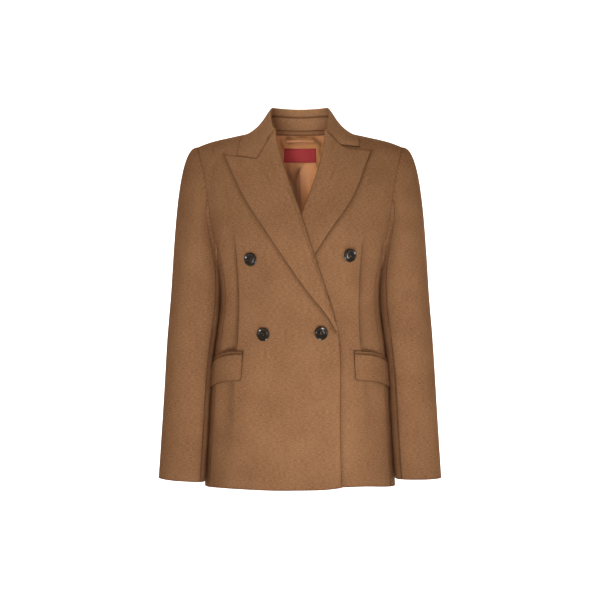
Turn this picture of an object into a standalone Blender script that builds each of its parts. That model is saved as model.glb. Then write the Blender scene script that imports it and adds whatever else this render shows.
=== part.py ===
"""Double breasted blazer, worn form: hollow cloth panels held in the shape of a general figure.

The frame: +X is the wearer's left, +Y the back, +Z up. The origin lies on the centre line at the
height of the back neck seam, in the plane of the shoulder seams. All sizes are in metres.
"""

import math

import bmesh
import bpy
import numpy as np
from mathutils import Matrix, Vector

# cloth
WALL = 0.0020
HALF_SEAM = 0.00015
LINING_WALL = 0.0010

# the worn form: one row a level, from the hem to above the neck
FORM_COLUMNS = ("height", "half_width", "front_depth", "back_depth")
FORM_RINGS = (
    (-0.700, 0.1835, 0.1220, 0.1290),
    (-0.600, 0.1778, 0.1228, 0.1262),
    (-0.500, 0.1712, 0.1218, 0.1190),
    (-0.430, 0.1650, 0.1195, 0.1105),
    (-0.380, 0.1580, 0.1165, 0.1020),
    (-0.330, 0.1532, 0.1140, 0.0955),
    (-0.290, 0.1552, 0.1150, 0.0950),
    (-0.255, 0.1612, 0.1185, 0.0985),
    (-0.225, 0.1675, 0.1212, 0.1025),
    (-0.180, 0.1795, 0.1222, 0.1065),
    (-0.130, 0.1935, 0.1210, 0.1095),
    (-0.080, 0.2050, 0.1195, 0.1110),
    (-0.030, 0.2130, 0.1185, 0.1120),
    (0.080, 0.2200, 0.1175, 0.1130),
)
FRONT_SQUARENESS = 2.40
BACK_SQUARENESS = 2.20
FRONT_SHOULDER_ROLL = 2.2
WIDEST_SHARE = 0.999
BACK_SHOULDER_ROLL = 3.0
CHEST_HEIGHT = -0.225

# the shoulder line, seen from the front, and the rise of the form into the neck
SHOULDER_COLUMNS = ("x", "height")
SHOULDER_LINE = (
    (0.0000, 0.0010),
    (0.0500, -0.0040),
    (0.0966, -0.0142),
    (0.1158, -0.0181),
    (0.1350, -0.0229),
    (0.1542, -0.0275),
    (0.1734, -0.0333),
    (0.1955, -0.0425),
    (0.2300, -0.0600),
)
NECK_RISE = 0.052
NECK_SPREAD = 0.052

# seams that run down the body, as turns round the form from the front centre, in degrees
SEAM_COLUMNS = ("height", "front_seam", "back_seam")
SIDE_SEAMS = (
    (-0.700, 68.0, 116.0),
    (-0.500, 67.0, 117.0),
    (-0.330, 65.0, 119.0),
    (-0.225, 68.5, 117.5),
)
ARMHOLE_DIP = 0.035

# armhole edge and dart line: x at a share of the way from chest height to the shoulder line
ARMHOLE_COLUMNS = ("height", "front_x", "back_x")
ARMHOLE = (
    (-0.225, 0.1622, 0.1628),
    (-0.190, 0.1680, 0.1705),
    (-0.150, 0.1738, 0.1775),
    (-0.110, 0.1798, 0.1835),
    (-0.080, 0.1860, 0.1885),
    (-0.060, 0.1915, 0.1925),
    (-0.030, 0.1955, 0.1955),
)
SHOULDER_END = 0.1955
SHOULDER_END_SHARE = 0.9
NECK_POINT = 0.0780
DART_COLUMNS = ("height", "x")
DART_LINE = (
    (-0.700, 0.1180),
    (-0.420, 0.1130),
    (-0.345, 0.1110),
    (-0.217, 0.1180),
    (-0.100, 0.1300),
    (0.000, 0.1360),
)
DART_DEPTH = 0.0012
DART_SPREAD = 0.0040
DART_SPLIT_TOP = -0.0500
DART_ABOVE_X = 0.1300
DART_TOP = -0.217
DART_FOOT = -0.425

# levels of the panel rows below the chest, and their turns over the shoulder in degrees
BREAK_HEIGHT = -0.393
ROWS_BELOW = (-0.684, -0.640, -0.592, -0.542, -0.492, -0.446, -0.416, BREAK_HEIGHT,
              -0.362, -0.332, -0.304, -0.278, -0.251, CHEST_HEIGHT)
ROWS_ABOVE = (9.0, 17.5, 25.0, 34.0, 44.0, 54.0, 63.0, 72.0, 81.0, 90.0)
FRONT_INNER_COLUMNS = 8
FRONT_OUTER_COLUMNS = 4
SIDE_COLUMNS = 6

# front edges and break lines: one row a side, +X for the side named
TOP_BREAK = {"x": -0.0500, "height": -0.0250, "slope": 0.3285}
UNDER_BREAK = {"x": 0.0500, "height": -0.0250, "slope": 0.3020}
EDGE_COLUMNS = ("height", "top_x", "under_x")
FRONT_EDGES = (
    (-0.700, 0.0774, -0.0690),
    (-0.517, 0.0746, -0.0665),
    (-0.425, 0.0737, -0.0645),
    (BREAK_HEIGHT, 0.0709, -0.0611),
)
NECKLINE_FRONT = ((0.0436, -0.0450), (0.0560, -0.0300), (0.0660, -0.0180), (0.0740, -0.0090))
HEM_COLUMNS = ("x", "top_height", "under_height")
HEM_LINE = (
    (-0.0774, -0.6800, -0.6795),
    (-0.0500, -0.6830, -0.6795),
    (-0.0100, -0.6842, -0.6795),
    (0.0700, -0.6846, -0.6797),
    (0.1300, -0.6838, -0.6800),
    (0.1600, -0.6845, -0.6830),
    (0.1835, -0.6860, -0.6860),
)
BACK_HEM = "under"
HEM_FADE = 0.092
TOP_LIFT = 0.0030
UNDER_DROP = 0.0036
LIFT_START = 0.0420
LIFT_END = 0.0880

# lapels: outer edge from the peak to the break point
TOP_LAPEL_EDGE = (
    (-0.1435, -0.0590), (-0.1267, -0.0970), (-0.1020, -0.1466), (-0.0737, -0.1910),
    (-0.0270, -0.2600), (0.0190, -0.3255), (0.0550, -0.3730), (0.0657, -0.3924),
)
UNDER_LAPEL_EDGE = (
    (0.1345, -0.0512), (0.1225, -0.0830), (0.0985, -0.1420), (0.0700, -0.1850),
    (0.0260, -0.2510), (-0.0180, -0.3160), (-0.0460, -0.3690), (-0.0560, -0.3924),
)
LAPEL_TOP = -0.0265
NOTCHES = {"top": (0.0808, -0.0728), "under": (0.0800, -0.0500)}
LAPEL_ACROSS = (0.07, 0.16, 0.28, 0.40, 0.60, 0.80, 1.00)
LAPEL_NOTCH_COLUMN = 3
LAPEL_FOOT_GAP = 0.0020
NOTCH_FADE = 0.30
LAPEL_WALL = {"top": 0.0020, "under": 0.0016}
LAPEL_GAP = 0.0011
# profile of the folded edge: distance past the fold toward the lapel, and lift off the front
NOSE_OUTER = ((-0.0030, -0.0004), (-0.0023, 0.0018), (-0.0006, 0.0036))
NOSE_INNER = ((-0.0027, -0.0016), (-0.0005, -0.0019), (-0.0004, 0.0006))
LAPEL_THIN_LENGTH = 0.0450
LAPEL_THIN_SHARE = 0.25
LAPEL_ROLL = 0.0040
LAPEL_ROLL_WIDTH = 0.0110
LAPEL_ROLL_PLACE = 0.0060
ROLL_FADE = 0.0500
# height below which the right lapel lies over the left one, which is kept flat there
COVERED_HEIGHT = -0.1750
COVERED_FADE = 0.0650
ROLL_TOP = -0.0250
LAPEL_ROWS = 15

# collar: one row a station, from the back centre to the gorge; mirrored across
# rails at each station: foot, seam, roll, belly and free edge, as (x, y, height)
COLLAR_STATIONS = (
    ((0.0000, 0.0725, 0.0032), (0.0000, 0.0680, 0.0250), (0.0000, 0.0705, 0.0420),
     (0.0000, 0.0825, 0.0250), (0.0000, 0.0890, -0.0100)),
    ((0.0300, 0.0612, 0.0032), (0.0290, 0.0575, 0.0250), (0.0297, 0.0600, 0.0420),
     (0.0360, 0.0715, 0.0240), (0.0420, 0.0740, -0.0100)),
    ((0.0530, 0.0360, 0.0028), (0.0498, 0.0355, 0.0240), (0.0505, 0.0375, 0.0415),
     (0.0640, 0.0465, 0.0200), (0.0780, 0.0420, -0.0075)),
    ((0.0650, 0.0165, 0.0005), (0.0562, 0.0150, 0.0190), (0.0552, 0.0165, 0.0370),
     (0.0760, 0.0215, 0.0110), (0.0985, 0.0180, -0.0085)),
    ((0.0700, -0.0040, -0.0045), (0.0575, -0.0075, 0.0085), (0.0562, -0.0070, 0.0240),
     (0.0800, -0.0060, 0.0040), (0.1065, -0.0090, -0.0110)),
    ((0.0670, -0.0280, -0.0140), (0.0560, -0.0345, -0.0050), (0.0548, -0.0350, 0.0080),
     (0.0820, -0.0390, -0.0125), (0.1120, -0.0410, -0.0240)),
    ((0.0580, -0.0500, -0.0260), (0.0530, -0.0560, -0.0170), (0.0520, -0.0580, -0.0060),
     (0.0835, -0.0660, -0.0370), (0.1170, -0.0600, -0.0400)),
    ((0.0530, -0.0600, -0.0320), (0.0482, -0.0625, -0.0150), (0.0492, -0.0700, -0.0125),
     (0.0838, -0.0826, -0.0580), (0.1205, -0.0702, -0.0545)),
)
COLLAR_STEPS = 2
# share of the way over the collar, from its seam: seam, fold, notch corner, free edge
FALL_MARKS = (0.0, 0.28, 0.62, 1.0)
FALL_SHARES = (0.0, 0.14, 0.24, 0.32, 0.42, 0.62, 0.81, 1.0)
# own-side (x, height) of the notch corner and of the tip
COLLAR_ENDS = {"right": ((0.0830, -0.0655), (0.1197, -0.0602)),
               "left": ((0.0775, -0.0392), (0.1125, -0.0420))}
COLLAR_END_LIFT = 0.0046
COLLAR_END_FADE = 1.1
COLLAR_SETTLE_SHARE = 0.8
COLLAR_WALLS = (0.0012, 0.0010, 0.0009, 0.0009, 0.0012, 0.0020, 0.0022, 0.0022)
STAND_WALL = 0.0014
COLLAR_SEAM_SHARE = 0.04

# sleeves: one row a level below the armpit
SLEEVE_COLUMNS = ("height", "centre_x", "centre_y", "half_width", "half_depth")
SLEEVE_RINGS = (
    (-0.285, 0.2020, 0.0020, 0.0436, 0.0620),
    (-0.330, 0.2014, -0.0010, 0.0468, 0.0590),
    (-0.400, 0.2075, -0.0070, 0.0461, 0.0545),
    (-0.470, 0.2132, -0.0150, 0.0440, 0.0505),
    (-0.540, 0.2173, -0.0230, 0.0436, 0.0468),
    (-0.610, 0.2209, -0.0300, 0.0441, 0.0435),
    (-0.669, 0.2250, -0.0350, 0.0435, 0.0405),
)
SLEEVE_ROWS = (-0.285, -0.318, -0.355, -0.400, -0.450, -0.505, -0.560, -0.615, -0.669)
SLEEVE_SQUARENESS = 2.15
CAP_ROWS = 7
UNDERARM_WALL = 0.0006
UNDERARM_HEIGHT = -0.1750
UNDERARM_SPAN = 0.0350
CAP_REACH = {"top": 0.034, "front": 0.030, "bottom": 0.009, "back": 0.030}
CAP_RISE = {"top": 0.125, "front": 0.060, "bottom": 0.010, "back": 0.060}
CAP_DIRECTION = {"top": (1.0, 0.0, 0.10), "front": (0.80, -0.30, -0.50),
                 "bottom": (0.35, 0.0, -0.9), "back": (0.80, 0.30, -0.50)}
FOREARM_SEAM_TURN = 119.0
HIND_SEAM_TURN = 245.0
FOREARM_SEAM_ROW = 3
HIND_SEAM_ROW = 3
CUFF_DROP = {"left": 0.001, "right": 0.007}

# pockets: the flap hangs from the welt; turns round the form in degrees
POCKET_COLUMNS = ("share", "top")
POCKET_TOP = ((0.0, -0.4325), (0.35, -0.4350), (0.70, -0.4425), (1.0, -0.4510))
POCKET_SHARES = (0.0, 0.012, 0.03, 0.06, 0.20, 0.36, 0.52, 0.68, 0.84, 0.945, 1.0)
POCKET_LEVEL = -0.4500
FLAP_START = {"left": 0.1005, "right": 0.1065}
FLAP_END_TURN = 79.0
POCKET_LENGTH = 0.118
FLAP_HEIGHT = 0.0500
FLAP_CORNER = 0.0065
FLAP_WALL = 0.0024
FLAP_LIFT = 0.0009
WELT_HEIGHT = 0.0058
WELT_WALL = 0.0018

# lining, facing, loop and label at the back of the neck
FACING_TOP = 0.0026
FACING_FOOT = -0.0065
FACING_HALF_WIDTH = 0.0560
FACING_LIFT = 0.0028
LINING_TOP = -0.0070
LINING_HALF_WIDTH = 0.1150
LINING_LIFT = 0.0016
PLEAT_HEIGHT = 0.0060
PLEAT_SPREAD = 0.0200
PLEAT_TOP = -0.0620
PLEAT_FADE = 0.0500
LINING_ACROSS = (-1.0, -0.8, -0.6, -0.42, -0.28, -0.15, -0.02, 0.0, 0.08, 0.18, 0.3, 0.45, 0.62,
                 0.8, 1.0)
LINING_LEVELS = (-0.300, -0.265, -0.235)
LINING_TURNS = (6.0, 16.0, 26.0, 36.0, 46.0, 56.0)
LINING_SHARE_MOST = 0.962
LABEL_LIFT = 0.0040
LABEL_SIZE = (0.0672, 0.0275)
LABEL_TOP = -0.0318
LABEL_WALL = 0.0008
LOOP_WIDTH = 0.0065
LOOP_SPAN = 0.0640
LOOP_HEIGHT = -0.0150
LOOP_STAND = 0.0035
LOOP_GAP = 0.0042
LOOP_DROP = 0.0030

# buttons: outer side of the turned profile (radius, height above the cloth)
BUTTON_PROFILE = (
    (0.0000, 0.0030), (0.0070, 0.0030), (0.0084, 0.0040), (0.0105, 0.0044), (0.0120, 0.0036),
    (0.0125, 0.0024), (0.0118, 0.0010), (0.0090, 0.0002), (0.0000, 0.0000),
)
BUTTON_SIDES = 18
HOLE_RADIUS = 0.0010
HOLE_SPACING = 0.0021
HOLE_SIDES = 6
HOLE_DEPTH = 0.0200
BUTTON_STAND = 0.0003
BUTTON_ROWS = (
    ("button_upper_right", -0.0912, -0.2565, "top"),
    ("button_upper_left", 0.0922, -0.2490, "under"),
    ("button_lower_right", -0.0675, -0.3960, "top"),
    ("button_lower_left", 0.0387, -0.3940, "top"),
)

CLOTH_BROWN = (0.300, 0.147, 0.075)
LINING_GOLD = (0.380, 0.165, 0.055)
LABEL_RED = (0.300, 0.020, 0.030)
HORN_BROWN = (0.028, 0.018, 0.012)
DULL = 0.9
RIBBON = 0.6
SATIN = 0.45
POLISHED = 0.18
SHARP_ANGLE = math.radians(50.0)
SMALL_STEP = 1e-5
MERGE = 1e-5


def table_column(rows, names, wanted):
    """One named column of a table as an array."""
    return np.array([row[names.index(wanted)] for row in rows])


def spline(knots, values, at):
    """Natural cubic through the knots, straight on beyond its ends."""
    order = np.argsort(knots)
    k = np.asarray(knots, float)[order]
    v = np.asarray(values, float)[order]
    count = len(k)
    gap = np.diff(k)
    system = np.eye(count)
    right = np.zeros(count)
    for i in range(1, count - 1):
        system[i, i - 1:i + 2] = (gap[i - 1], 2 * (gap[i - 1] + gap[i]), gap[i])
        right[i] = 6 * ((v[i + 1] - v[i]) / gap[i] - (v[i] - v[i - 1]) / gap[i - 1])
    bend = np.linalg.solve(system, right)
    x = np.clip(np.asarray(at, float), k[0], k[-1])
    i = np.clip(np.searchsorted(k, x) - 1, 0, count - 2)
    a = (k[i + 1] - x) / gap[i]
    b = (x - k[i]) / gap[i]
    curve = (a ** 3 - a) * bend[i] + (b ** 3 - b) * bend[i + 1]
    return a * v[i] + b * v[i + 1] + curve * gap[i] ** 2 / 6


def look_up(rows, names, key, wanted, at):
    """A named column as a smooth function of another."""
    return spline(table_column(rows, names, key), table_column(rows, names, wanted), at)


def smooth_step(value):
    """0 below 0, 1 above 1, with level ends."""
    t = np.clip(value, 0.0, 1.0)
    return t * t * (3 - 2 * t)


def ridge_height(x):
    """Height of the form over the shoulder line, with its rise into the neck."""
    side = np.abs(x)
    shoulder = look_up(SHOULDER_LINE, SHOULDER_COLUMNS, "x", "height", side)
    return shoulder + NECK_RISE * np.exp(-(side / NECK_SPREAD) ** 2)


def rise_share(x, z):
    """0 at chest height, 1 on the shoulder line above this x."""
    return np.clip((z - CHEST_HEIGHT) / (ridge_height(x) - CHEST_HEIGHT), 0.0, 1.0)


def form_level(z, face):
    """Half width, depth, squareness and shoulder roll of the form at a level."""
    half = look_up(FORM_RINGS, FORM_COLUMNS, "height", "half_width", z)
    front = look_up(FORM_RINGS, FORM_COLUMNS, "height", "front_depth", z)
    back = look_up(FORM_RINGS, FORM_COLUMNS, "height", "back_depth", z)
    is_front = face < 0
    depth = np.where(is_front, front, back)
    square = np.where(is_front, FRONT_SQUARENESS, BACK_SQUARENESS)
    roll = np.where(is_front, FRONT_SHOULDER_ROLL, BACK_SHOULDER_ROLL)
    return half, depth, square, roll


def form_y(x, z, face):
    """Depth of the form at x and z: a squarish oval ring, drawn in toward the shoulder line."""
    half, depth, square, roll = form_level(z, face)
    across = np.clip(1 - (np.abs(x) / half) ** square, 0, 1) ** (1 / square)
    over = np.sqrt(np.clip(1 - rise_share(x, z) ** roll, 0, 1))
    return face * depth * across * over


def ring_x(turn, z, face):
    """x on the ring at a turn in degrees from the front centre."""
    half, _, square, _ = form_level(z, face)
    return half * np.abs(np.sin(np.radians(turn))) ** (2 / square)


def ring_y(turn, z, face):
    """y on the ring at a turn in degrees from the front centre, below the chest."""
    _, depth, square, _ = form_level(z, face)
    return face * depth * np.abs(np.cos(np.radians(turn))) ** (2 / square)


def ring_turn(x, z, face):
    """Turn in degrees from the front or back centre that has this x."""
    half, _, square, _ = form_level(z, face)
    turn = np.degrees(np.arcsin(np.clip((np.abs(x) / half) ** (square / 2), 0, 1)))
    return np.where(face < 0, turn, 180 - turn)


def form_level_set(x, y, z):
    """Zero on the form, positive outside it."""
    face = np.where(y > 0, 1.0, -1.0)
    half, depth, square, roll = form_level(z, face)
    wide = np.clip(np.abs(x) / half, 0, WIDEST_SHARE)
    deep = np.abs(y) / depth
    low = (np.abs(x) / half) ** square + deep ** square - 1
    across = (1 - wide ** square) ** (1 / square)
    high = rise_share(x, z) ** roll + (deep / across) ** 2 - 1
    return np.where(z > CHEST_HEIGHT + SMALL_STEP, high, low)


def outward(points):
    """Unit normals of the form at its own points."""
    slopes = []
    for axis in range(3):
        step = np.zeros(3)
        step[axis] = SMALL_STEP
        ahead = form_level_set(*np.moveaxis(points + step, -1, 0))
        behind = form_level_set(*np.moveaxis(points - step, -1, 0))
        slopes.append(ahead - behind)
    normal = np.stack(slopes, -1)
    return normal / np.linalg.norm(normal, axis=-1, keepdims=True)


def front_points(x, z):
    """Points on the front of the form."""
    return np.stack([x, form_y(x, z, np.full_like(x, -1.0)), z], -1)


def skins(points, lift, wall):
    """Outer and inner skin of a cloth panel that stands the given lift off the form."""
    normal = outward(points)
    lift = np.broadcast_to(np.asarray(lift, float), points.shape[:-1])[..., None]
    wall = np.broadcast_to(np.asarray(wall, float), points.shape[:-1])[..., None]
    return points + normal * lift, points + normal * (lift - wall)


def material(name, colour, roughness):
    """One Principled material."""
    made = bpy.data.materials.new(name)
    made.use_nodes = True
    shader = made.node_tree.nodes["Principled BSDF"]
    shader.inputs["Base Color"].default_value = (*colour, 1.0)
    shader.inputs["Roughness"].default_value = roughness
    shader.inputs["Metallic"].default_value = 0.0
    made.diffuse_color = (*colour, 1.0)
    return made


def finish(name, vertices, faces, colour, roughness, group):
    """A closed mesh object with its faces turned outward."""
    mesh = bpy.data.meshes.new(name)
    mesh.from_pydata([tuple(v) for v in vertices], [], faces)
    work = bmesh.new()
    work.from_mesh(mesh)
    bmesh.ops.remove_doubles(work, verts=work.verts, dist=MERGE)
    bmesh.ops.dissolve_degenerate(work, edges=work.edges, dist=MERGE)
    bmesh.ops.triangulate(work, faces=work.faces)
    bmesh.ops.recalc_face_normals(work, faces=work.faces)
    if work.calc_volume(signed=True) < 0:
        bmesh.ops.reverse_faces(work, faces=work.faces)
    work.to_mesh(mesh)
    work.free()
    made = bpy.data.objects.new(name, mesh)
    group.objects.link(made)
    mesh.materials.append(material(name + "_finish", colour, roughness))
    mesh.shade_smooth()
    mesh.set_sharp_from_angle(angle=SHARP_ANGLE)
    return made


def shell(name, outer, inner, colour, roughness, group):
    """A cloth piece from two skins of the same grid, closed along its rims."""
    rows, columns = outer.shape[:2]
    count = rows * columns
    index = np.arange(count).reshape(rows, columns)
    vertices = np.concatenate([outer.reshape(-1, 3), inner.reshape(-1, 3)])
    faces = []
    for i in range(rows - 1):
        for j in range(columns - 1):
            quad = (index[i, j], index[i, j + 1], index[i + 1, j + 1], index[i + 1, j])
            faces.append(quad)
            faces.append(tuple(count + q for q in reversed(quad)))
    rim = list(index[0]) + list(index[1:, -1]) + list(index[-1, -2::-1]) + list(index[-2:0:-1, 0])
    for here, ahead in zip(rim, rim[1:] + rim[:1]):
        faces.append((ahead, here, count + here, count + ahead))
    faces = [tuple(int(q) for q in face) for face in faces]
    return finish(name, vertices, faces, colour, roughness, group)


def break_x(z, style):
    """Own-side x of the fold where the front turns back as a lapel."""
    line = TOP_BREAK if style == "top" else UNDER_BREAK
    return abs(line["x"]) - (line["height"] - z) * line["slope"]


def front_lift(x, side, style):
    """How far a front stands off the form, so that one front laps clear over the other."""
    own = side * x
    share = smooth_step((LIFT_END - own) / (LIFT_END - LIFT_START))
    return TOP_LIFT * share if style == "top" else -UNDER_DROP * share


def dart_x(z):
    """Own-side x of the dart and of the line that carries it on up and down."""
    return look_up(DART_LINE, DART_COLUMNS, "height", "x", z)


def rising_z(x, share):
    """Height at a share of the way from the chest to the shoulder line."""
    return CHEST_HEIGHT + (ridge_height(x) - CHEST_HEIGHT) * share


def armhole_x(share, column):
    """Own-side x of the armhole edge at each share of the rise."""
    x = np.full_like(share, SHOULDER_END)
    for _ in range(8):
        wanted = look_up(ARMHOLE, ARMHOLE_COLUMNS, "height", column, rising_z(x, share))
        to_end = smooth_step((share - SHOULDER_END_SHARE) / (1 - SHOULDER_END_SHARE))
        x = wanted * (1 - to_end) + SHOULDER_END * to_end
    return x


def shares_above():
    """Shares of the rise at the rows above the chest."""
    return np.sin(np.radians(np.array(ROWS_ABOVE)))


def neck_x(share, line):
    """Own-side x of a neckline, given as points, at each share of the rise."""
    x = np.array([point[0] for point in line])
    z = np.array([point[1] for point in line])
    return np.interp(share, rise_share(x, z), x)


def sections(first, middle, last, count_first, count_last):
    """Columns spaced evenly from first to middle and from middle to last."""
    a = np.linspace(0, 1, count_first + 1)[:-1]
    b = np.linspace(0, 1, count_last + 1)
    left = first[:, None] + (middle - first)[:, None] * a
    right = middle[:, None] + (last - middle)[:, None] * b
    return np.concatenate([left, right], axis=1)


def front_grid(style):
    """Own-side points of a front, hem to shoulder, front edge to side seam and armhole."""
    z = np.array(ROWS_BELOW)
    edge = np.where(z < BREAK_HEIGHT,
                    np.abs(look_up(FRONT_EDGES, EDGE_COLUMNS, "height",
                                   "top_x" if style == "top" else "under_x", z)) * -1,
                    break_x(z, style))
    seam = look_up(SIDE_SEAMS, SEAM_COLUMNS, "height", "front_seam", z)
    front = np.full_like(z, -1.0)
    seam = np.minimum(seam, 90)
    x_in = sections(edge, dart_x(z), dart_x(z), FRONT_INNER_COLUMNS, 1)
    x_in = x_in[:, :FRONT_INNER_COLUMNS]
    dart_turn = ring_turn(dart_x(z), z, front)
    turns = dart_turn[:, None] + (seam - dart_turn)[:, None] * np.linspace(
        0, 1, FRONT_OUTER_COLUMNS + 1)
    level = np.repeat(z[:, None], FRONT_OUTER_COLUMNS + 1, 1)
    face = np.full_like(level, -1.0)
    outer = np.stack([ring_x(turns, level, face), ring_y(turns, level, face), level], -1)
    level = np.repeat(z[:, None], FRONT_INNER_COLUMNS, 1)
    inner = front_points(x_in, level)
    below = np.concatenate([inner, outer], 1)

    share = shares_above()
    fold_z = np.linspace(CHEST_HEIGHT, DART_SPLIT_TOP, 12)
    line = [(float(break_x(q, style)), float(q)) for q in fold_z]
    line += list(NECKLINE_FRONT) + [(NECK_POINT, float(ridge_height(NECK_POINT)))]
    first = neck_x(share, line)
    last = armhole_x(share, "front_x")
    middle = dart_x(rising_z(DART_ABOVE_X, share))
    x = sections(first, middle, last, FRONT_INNER_COLUMNS, FRONT_OUTER_COLUMNS)
    above = front_points(x, rising_z(x, share[:, None]))
    return np.concatenate([below, above], 0)


def back_grid():
    """Own-side points of a back, hem to shoulder, centre seam to side seam and armhole."""
    z = np.array(ROWS_BELOW)
    seam = look_up(SIDE_SEAMS, SEAM_COLUMNS, "height", "back_seam", z)
    columns = FRONT_INNER_COLUMNS + FRONT_OUTER_COLUMNS + 1
    turns = 180 + (seam - 180)[:, None] * np.linspace(0, 1, columns)
    level = np.repeat(z[:, None], columns, 1)
    face = np.full_like(level, 1.0)
    below = np.stack([ring_x(turns, level, face), ring_y(turns, level, face), level], -1)
    share = shares_above()
    line = [(0.0, -0.0040), (0.030, -0.0036), (0.055, -0.0034), (0.070, -0.0036),
            (NECK_POINT, float(ridge_height(NECK_POINT)))]
    first = neck_x(share, line)
    last = armhole_x(share, "back_x")
    middle = first + (last - first) * FRONT_INNER_COLUMNS / (columns - 1)
    top_middle = dart_x(rising_z(0.13, np.array([1.0])))[0]
    middle[-1] = top_middle
    x = sections(first, middle, last, FRONT_INNER_COLUMNS, FRONT_OUTER_COLUMNS)
    height = rising_z(x, share[:, None])
    above = np.stack([x, form_y(x, height, np.full_like(x, 1.0)), height], -1)
    return np.concatenate([below, above], 0)


def side_grid():
    """Own-side points of the panel under the arm, its top dipping as the armhole's foot."""
    z = np.array(ROWS_BELOW)
    front = look_up(SIDE_SEAMS, SEAM_COLUMNS, "height", "front_seam", z)
    back = look_up(SIDE_SEAMS, SEAM_COLUMNS, "height", "back_seam", z)
    share = np.linspace(0, 1, SIDE_COLUMNS + 1)
    across = (1 - np.cos(np.pi * share)) / 2
    turns = front[:, None] + (back - front)[:, None] * across
    dip = ARMHOLE_DIP * np.sin(np.pi * share)
    rise = (z - z[0]) / (z[-1] - z[0])
    level = z[:, None] - dip[None, :] * rise[:, None]
    face = np.where(turns > 90, 1.0, -1.0)
    return np.stack([ring_x(turns, level, face), ring_y(turns, level, face), level], -1)


def to_hem(points, style):
    """Bring the lowest rows of an own-side grid to the hem line, fading out upward."""
    wanted = look_up(HEM_LINE, HEM_COLUMNS, "x", style + "_height", points[..., 0])
    foot = ROWS_BELOW[0]
    fade = smooth_step((foot + HEM_FADE - points[..., 2]) / HEM_FADE)
    moved = points.copy()
    moved[..., 2] += (wanted - foot) * fade
    return moved


def inset(points, left, right, top=0.0):
    """Move the side columns, and the top row, in toward the piece by part of a seam."""
    moved = points.copy()
    for edge, neighbour, amount in ((0, 1, left), (-1, -2, right)):
        step = points[:, neighbour] - points[:, edge]
        length = np.linalg.norm(step, axis=-1, keepdims=True)
        moved[:, edge] += step / length * amount
    if top:
        moved[-1, :, 1] += top
    return moved


def mirrored(points, side):
    """Own-side points placed on their side of the garment."""
    return points * np.array([side, 1.0, 1.0])


def dart_crease(points, side):
    """Depth of the stitched dart at each point, deepest at the waist."""
    own = side * points[..., 0]
    z = points[..., 2]
    middle = (DART_TOP + DART_FOOT) / 2
    along = np.clip(1 - ((z - middle) / (DART_TOP - middle)) ** 2, 0, 1)
    near = np.exp(-((own - dart_x(z)) / DART_SPREAD) ** 2)
    return DART_DEPTH * along * near * (points[..., 1] < 0)


def make_body(group):
    """Fronts, side panels and backs."""
    for side, word in ((1, "left"), (-1, "right")):
        style = "under" if side > 0 else "top"
        seam = HALF_SEAM
        points = to_hem(inset(front_grid(style), 0.0, seam, -seam), style)
        points = mirrored(points, side)
        lift = front_lift(points[..., 0], side, style) - dart_crease(points, side)
        outer, inner = skins(points, lift, WALL)
        shell("front_" + word, outer, inner, CLOTH_BROWN, DULL, group)
        points = mirrored(to_hem(inset(side_grid(), seam, seam), style), side)
        outer, inner = skins(points, 0.0, WALL)
        shell("side_" + word, outer, inner, CLOTH_BROWN, DULL, group)
        points = back_grid()
        points[:, 0, 0] = np.maximum(points[:, 0, 0], seam)
        points = mirrored(to_hem(inset(points, 0.0, seam, seam), BACK_HEM), side)
        outer, inner = skins(points, 0.0, WALL)
        shell("back_" + word, outer, inner, CLOTH_BROWN, DULL, group)


def armhole_ring():
    """Own-side armhole points from the shoulder, down the front, under and up the back."""
    above = len(ROWS_ABOVE)
    front = front_grid("top")[-above - 1:, -1][::-1]
    back = back_grid()[-above - 1:, -1]
    under = side_grid()[-1, 1:-1]
    ring = np.concatenate([front, under, back[:-1]])
    ring[0] = (front[0] + back[-1]) / 2
    front_row = above - FOREARM_SEAM_ROW
    back_row = len(front) + len(under) + HIND_SEAM_ROW
    foot = len(front) - 1
    back_foot = len(front) + len(under)
    step = np.linalg.norm(np.diff(np.concatenate([ring, ring[:1]]), axis=0), axis=1)
    run = np.concatenate([[0], np.cumsum(step)])
    marks = [0, front_row, foot, back_foot, back_row, len(ring)]
    turns = np.interp(run, run[marks], [0, FOREARM_SEAM_TURN, 158, 202, HIND_SEAM_TURN, 360])
    return ring, turns[:-1], front_row, back_row


def blend_by_turn(turns, parts):
    """Mix of the values for top, front, bottom and back, by the turn round the sleeve."""
    c = np.cos(np.radians(turns))
    s = np.sin(np.radians(turns))
    weights = {"top": np.clip(c, 0, 1) ** 2, "bottom": np.clip(-c, 0, 1) ** 2,
               "front": np.clip(s, 0, 1) ** 2, "back": np.clip(-s, 0, 1) ** 2}
    return sum(np.multiply.outer(weights[key], np.array(parts[key])) for key in weights)


def sleeve_ring(turns, height):
    """Own-side points of a sleeve's squarish oval at one level."""
    cx, cy, wide, deep = (look_up(SLEEVE_RINGS, SLEEVE_COLUMNS, "height", column, height)
                          for column in SLEEVE_COLUMNS[1:])
    c = np.cos(np.radians(turns))
    s = np.sin(np.radians(turns))
    power = 2 / SLEEVE_SQUARENESS
    x = cx + wide * np.sign(c) * np.abs(c) ** power
    y = cy - deep * np.sign(s) * np.abs(s) ** power
    return np.stack([x, y, np.full_like(x, height)], -1)


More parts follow.
